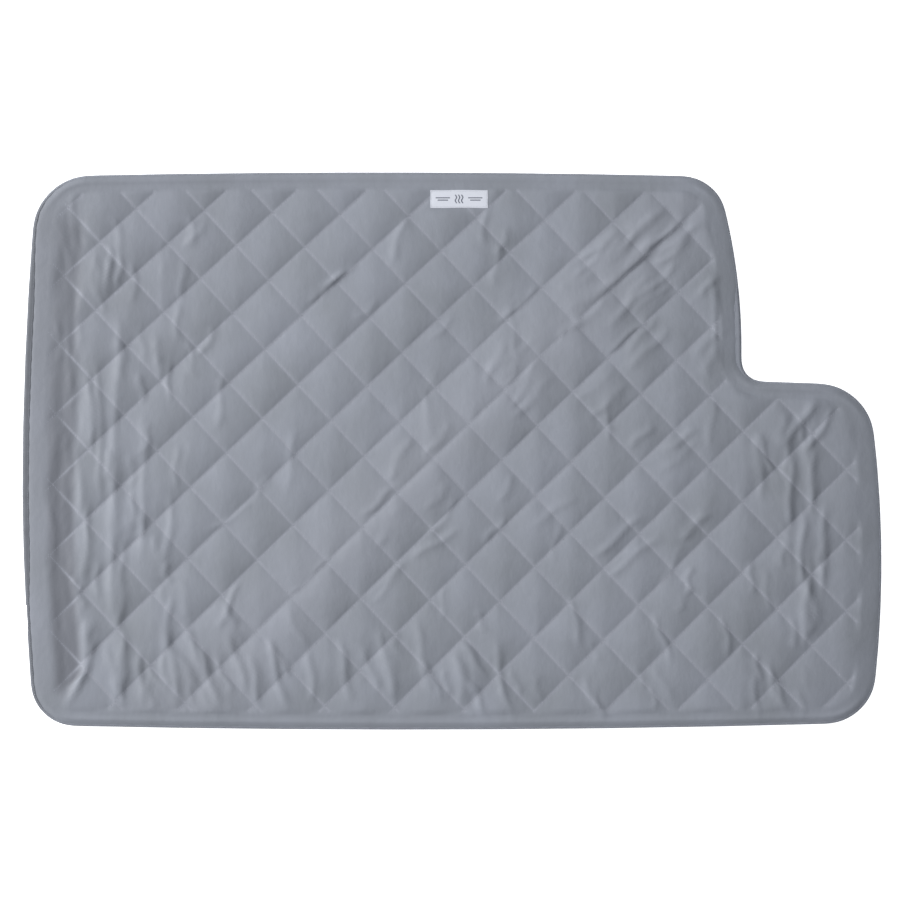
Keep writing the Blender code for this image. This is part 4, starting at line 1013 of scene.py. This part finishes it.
# %% Lay the tape's own map on it, and cut the inlet's window
uv = binding.data.uv_layers.new(name="tape")
for face_loop in binding.data.polygons:
    corners = [binding.data.loops[k].vertex_index for k in face_loop.loop_indices]
    columns = [c % RIM_COUNT for c in corners]
    wrap = max(columns) - min(columns) > 1
    for k, corner, column in zip(face_loop.loop_indices, corners, columns):
        along = (column + (RIM_COUNT if wrap and column == 0 else 0)) * RIM_STEP
        uv.data[k].uv = (along, (corner // RIM_COUNT) * 2.2 * MM)
cut = bmesh.new()
cut.from_mesh(binding.data)
gone = [f for f in cut.faces
        if f.calc_center_median().x < inlet_high.x
        and inlet_low.y - CLEARANCE < f.calc_center_median().y < inlet_high.y + CLEARANCE
        and inlet_low.z - CLEARANCE < f.calc_center_median().z < inlet_high.z + CLEARANCE]
bmesh.ops.delete(cut, geom=gone, context="FACES")
rims = [e for e in cut.edges if e.is_boundary]
if rims:
    bmesh.ops.bridge_loops(cut, edges=rims)
bmesh.ops.recalc_face_normals(cut, faces=cut.faces)
cut.to_mesh(binding.data)
cut.free()
both(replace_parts(binding, "base_edge_binding", "flap_edge_binding"))

check = bmesh.new()
check.from_mesh(face.data)
print("open edges of the face:", sum(e.is_boundary for e in check.edges), "outline points:", RIM_COUNT,
      "crossed:", sum(len(e.link_faces) > 2 for e in check.edges))
check.free()

# %% [markdown]
# ## The face's thickness
# The face was made as a single surface so that it could settle as cloth. A Solidify modifier now gives it
# the thickness of coated satin on its underside, which makes it a closed piece.

# %% Give the face its thickness
SATIN_THICK = 0.5 * MM
shell = face.modifiers.new("satin thickness", "SOLIDIFY")
shell.thickness, shell.offset = SATIN_THICK, -1.0
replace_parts(face, "base_face_cover", "flap_face_cover")
both(face)

# %% [markdown]
# ## Sewing thread
# Thousands of stitches follow the seams. Placing them by hand would be a loop over matrices, which Geometry
# Nodes does better: the seams are drawn as thin lines, turned into evenly spaced points that know
# which way the line runs, and a small stitch is set on each. The thread is drawn twice as thick as a real
# one, because a real one, a quarter of a millimetre, would vanish.

# %% A node tree that sews along lines
def sewing_tree():
    tree = bpy.data.node_groups.new("sew_along_lines", "GeometryNodeTree")
    face_of = tree.interface
    face_of.new_socket("Geometry", in_out="INPUT", socket_type="NodeSocketGeometry")
    for name, value in (("Spacing", 6.4 * MM), ("Stitch length", 4.8 * MM), ("Thread", 0.8 * MM)):
        face_of.new_socket(name, in_out="INPUT", socket_type="NodeSocketFloat").default_value = value
    face_of.new_socket("Seed", in_out="INPUT", socket_type="NodeSocketInt").default_value = 5
    face_of.new_socket("Material", in_out="INPUT", socket_type="NodeSocketMaterial")
    face_of.new_socket("Geometry", in_out="OUTPUT", socket_type="NodeSocketGeometry")
    given = add(tree, "NodeGroupInput").outputs
    line = add(tree, "GeometryNodeMeshToCurve", {"Mesh": given["Geometry"]}).outputs["Curve"]
    spots = add(tree, "GeometryNodeCurveToPoints", {"Curve": line, "Length": given["Spacing"]}, mode="LENGTH")
    ball = add(tree, "GeometryNodeMeshIcoSphere", {"Radius": 1.0, "Subdivisions": 1}).outputs["Mesh"]
    uneven = add(tree, "FunctionNodeRandomValue", {"Seed": given["Seed"]}, data_type="FLOAT")
    uneven.inputs[2].default_value, uneven.inputs[3].default_value = 0.9, 1.06
    half = add(tree, "ShaderNodeMath", {0: given["Stitch length"], 1: 0.5}, operation="MULTIPLY").outputs["Value"]
    long = add(tree, "ShaderNodeMath", {0: half, 1: uneven.outputs[1]}, operation="MULTIPLY").outputs["Value"]
    thick = add(tree, "ShaderNodeMath", {0: given["Thread"], 1: 0.5}, operation="MULTIPLY").outputs["Value"]
    size = add(tree, "ShaderNodeCombineXYZ", {"X": thick, "Y": thick, "Z": long}).outputs["Vector"]
    sewn = add(tree, "GeometryNodeInstanceOnPoints", {"Points": spots.outputs["Points"], "Instance": ball,
                                                      "Rotation": spots.outputs["Rotation"], "Scale": size})
    solid = add(tree, "GeometryNodeRealizeInstances", {"Geometry": sewn.outputs["Instances"]}).outputs["Geometry"]
    coloured = add(tree, "GeometryNodeSetMaterial", {"Geometry": solid, "Material": given["Material"]})
    add(tree, "NodeGroupOutput", {"Geometry": coloured.outputs["Geometry"]})
    return tree


def sew(name, lines, material, spacing, length, thick):
    """Stitches along polylines, each an array of points, as one plain mesh."""
    vertices = np.vstack(lines)
    edges, at = [], 0
    for line in lines:
        edges += [(at + k, at + k + 1) for k in range(len(line) - 1)]
        at += len(line)
    mesh = bpy.data.meshes.new(name + "_lines")
    mesh.from_pydata([tuple(map(float, v)) for v in vertices], edges, [])
    guide = bpy.data.objects.new(name + "_lines", mesh)
    bpy.context.scene.collection.objects.link(guide)
    nodes_modifier = guide.modifiers.new("sew", "NODES")
    nodes_modifier.node_group = sewing
    values = {"Spacing": spacing, "Stitch length": length, "Thread": thick, "Material": material}
    for item in sewing.interface.items_tree:
        if item.in_out == "INPUT" and item.name in values:
            nodes_modifier[item.identifier] = values[item.name]
    seen = guide.evaluated_get(bpy.context.evaluated_depsgraph_get())
    made = bpy.data.objects.new(name, bpy.data.meshes.new_from_object(seen))
    bpy.data.objects.remove(guide)
    bpy.context.scene.collection.objects.link(made)
    made.data.shade_smooth()
    print(name, "faces:", len(made.data.polygons))
    return made


sewing = sewing_tree()

# %% The quilting seams
settled_at = np.array([v.co for v in face.data.vertices])


def seam_runs():
    """The seams as polylines, read from the rows of the grid that lie on them."""
    lines = []
    for flip in (False, True):
        ids = number.T if flip else number
        for row in np.flatnonzero(counts % SQUARE_STEPS == 0):
            line = ids[row]
            there = np.flatnonzero(line >= 0)
            if len(there) < 3:
                continue
            for run in np.split(there, np.flatnonzero(np.diff(there) > 1) + 1):
                if len(run) > 2:
                    lines.append(settled_at[line[run]] + (0, 0, 0.12 * MM))
    return lines


quilting = sew("quilting_thread", seam_runs(), thread, 6.4 * MM, 4.9 * MM, 0.7 * MM)
both(quilting)

# %% The binding's stitches, above and below
thread_inset = lip_width - 1.5 * MM
upper_spot = outline - normals * thread_inset[:, None]
upper_line = np.column_stack([upper_spot, RIM_TOP / 2 + rim_profile(thread_inset) + 0.2 * MM * ripple + 0.1 * MM])
lower_spot = outline - normals * (BOTTOM_LIP - 2 * MM)
lower_line = np.column_stack([lower_spot, np.full(RIM_COUNT, 0.2 * MM)])
binding_seams = [np.vstack([line, line[:1]]) for line in (upper_line, lower_line)]
binding_thread = sew("binding_thread", binding_seams, thread, 5.2 * MM, 4.0 * MM, 0.7 * MM)
both(binding_thread)

# %% [markdown]
# ## The maker's label
# A woven satin label is sewn to the border of the flap. It is a thin slip of cloth that lies on the face and
# is held down all round, so its middle stands a little higher than its edges. Its mark is only a sign for
# warmth, three rising waves between two woven bars, drawn by the material from the label's own map.

# %% Label cloth, its weave and its sign
woven_white, tree, shader = finish("woven_satin_label", "E9EAEE", 0.45)
shader.inputs["Sheen Weight"].default_value = 0.2
place = add(tree, "ShaderNodeSeparateXYZ", {"Vector": add(tree, "ShaderNodeTexCoord").outputs["UV"]})
across, upward = place.outputs["X"], place.outputs["Y"]


def math_node(operation, *values):
    return add(tree, "ShaderNodeMath", dict(enumerate(values)), operation=operation).outputs["Value"]


sway = math_node("MULTIPLY", math_node("SINE", math_node("MULTIPLY", upward, 2 * math.pi / (13 * MM))), 1.3 * MM)
straight = math_node("SUBTRACT", across, sway)
sign = None
for place_along in (-6.5 * MM, 0.0, 6.5 * MM):
    wave = math_node("COMPARE", straight, place_along, 1.5 * MM)
    sign = wave if sign is None else math_node("MAXIMUM", sign, wave)
sign = math_node("MULTIPLY", sign, math_node("COMPARE", upward, 0.0, 9.0 * MM))
for bar in (-34 * MM, 34 * MM):
    for level, half in ((2.4 * MM, 15 * MM), (-2.4 * MM, 11 * MM)):
        stripe = math_node("MULTIPLY", math_node("COMPARE", across, bar, half),
                           math_node("COMPARE", upward, level, 1.2 * MM))
        sign = math_node("MAXIMUM", sign, stripe)
tint(tree, shader, sign, "BEC1CA", "5E626E", 0.4, 0.6)
label_weave = threads(tree, 0.7 * MM, "UV")
raised = math_node("ADD", label_weave, math_node("MULTIPLY", sign, 0.8))
relief(tree, shader, raised, 0.12 * MM, 0.8)

# %% Lay the label on the face
LABEL_COLUMNS, LABEL_ROWS, LABEL_THICK = 48, 16, 0.7 * MM
gx, gy = np.meshgrid(np.linspace(-1, 1, LABEL_COLUMNS + 1), np.linspace(-1, 1, LABEL_ROWS + 1), indexing="ij")
lx = label_middle.x + gx * label_half.x + 0.25 * MM * np.sin(5 * gy)
ly = label_middle.y + gy * label_half.y + 0.3 * MM * np.sin(4 * gx + 1)
spots = np.stack([lx.ravel(), ly.ravel()], 1)
deep, near = inset_of(spots)
bed = face_height(spots[:, 0], spots[:, 1], deep, near).reshape(gx.shape)
held = (1 - gx ** 6) * (1 - gy ** 4)
under = np.maximum(bed + 0.1 * MM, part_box("woven_label")[0].z - 2.0 * MM + 0.5 * MM * held)
over = under + LABEL_THICK * (0.75 + 0.25 * np.minimum(1, 8 * (1 - np.maximum(np.abs(gx), np.abs(gy)))))
n = gx.size
label_points = np.vstack([np.column_stack([spots, under.ravel()]), np.column_stack([spots, over.ravel()])])
at = np.arange(n).reshape(gx.shape)
label_faces = []
for i in range(LABEL_COLUMNS):
    for j in range(LABEL_ROWS):
        a, b, c, d = at[i, j], at[i + 1, j], at[i + 1, j + 1], at[i, j + 1]
        label_faces += [(a + n, b + n, c + n, d + n), (a, d, c, b)]
rim = [at[i, 0] for i in range(LABEL_COLUMNS)] + [at[-1, j] for j in range(LABEL_ROWS)] \
    + [at[i, -1] for i in range(LABEL_COLUMNS, 0, -1)] + [at[0, j] for j in range(LABEL_ROWS, 0, -1)]
label_faces += [(rim[k], rim[(k + 1) % len(rim)], rim[(k + 1) % len(rim)] + n, rim[k] + n) for k in range(len(rim))]
label = new_piece("maker_label", label_points, label_faces, woven_white, 50)
uv = label.data.uv_layers.new(name="label")
for corner in label.data.loops:
    x, y, _ = label.data.vertices[corner.vertex_index].co
    uv.data[corner.index].uv = (x - label_middle.x, y - label_middle.y)
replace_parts(label, "woven_label")
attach(label, "flap")

# %% Stitches round the label
LABEL_SEAM = 2.2 * MM
around = []
for x0, y0, x1, y1 in ((-1, -1, 1, -1), (1, -1, 1, 1), (1, 1, -1, 1), (-1, 1, -1, -1)):
    for t in np.linspace(0, 1, 30, endpoint=False):
        gx_at, gy_at = x0 + (x1 - x0) * t, y0 + (y1 - y0) * t
        px = label_middle.x + gx_at * (label_half.x - LABEL_SEAM)
        py = label_middle.y + gy_at * (label_half.y - LABEL_SEAM)
        i = int(round((px - label_middle.x + label_half.x) / (2 * label_half.x) * LABEL_COLUMNS))
        j = int(round((py - label_middle.y + label_half.y) / (2 * label_half.y) * LABEL_ROWS))
        around.append((px, py, over[i, j] + 0.08 * MM))
label_seam = [np.array(around + around[:1])]
label_thread = sew("label_thread", label_seam, thread, 3.0 * MM, 2.3 * MM, 0.45 * MM)
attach(label_thread, "flap")

# %% Leads that cross the fold


def joined_lead(name, halves, material):
    """The two halves of a lead welded end to end, with cuts close enough together to bend."""
    lead = bmesh.new()
    for half in halves:
        lead.from_mesh(nodes[half].data)
    bmesh.ops.remove_doubles(lead, verts=lead.verts, dist=1e-5)
    ends = [f for f in lead.faces if abs(f.calc_center_median().y) < FOLD_LINE and abs(f.normal.y) > 0.9]
    bmesh.ops.delete(lead, geom=ends, context="FACES")
    bmesh.ops.bridge_loops(lead, edges=[e for e in lead.edges if e.is_boundary])
    for y in np.arange(0, FOLD_WIDTH + 1 * MM, 5 * MM):
        bmesh.ops.bisect_plane(lead, geom=lead.verts[:] + lead.edges[:] + lead.faces[:],
                               plane_co=(0, y, 0), plane_no=(0, 1, 0), dist=1e-6)
    bmesh.ops.recalc_face_normals(lead, faces=lead.faces)
    mesh = bpy.data.meshes.new(name)
    lead.to_mesh(mesh)
    lead.free()
    mesh.shade_smooth()
    made = bpy.data.objects.new(name, mesh)
    bpy.context.scene.collection.objects.link(made)
    mesh.materials.append(material)
    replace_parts(made, *halves)
    return both(made)


for name in ("link_lead", "return_lead"):
    lead = joined_lead(name, ("base_" + name, "flap_" + name), CAD_FINISHES[name])
    print(name, "points:", len(lead.data.vertices))
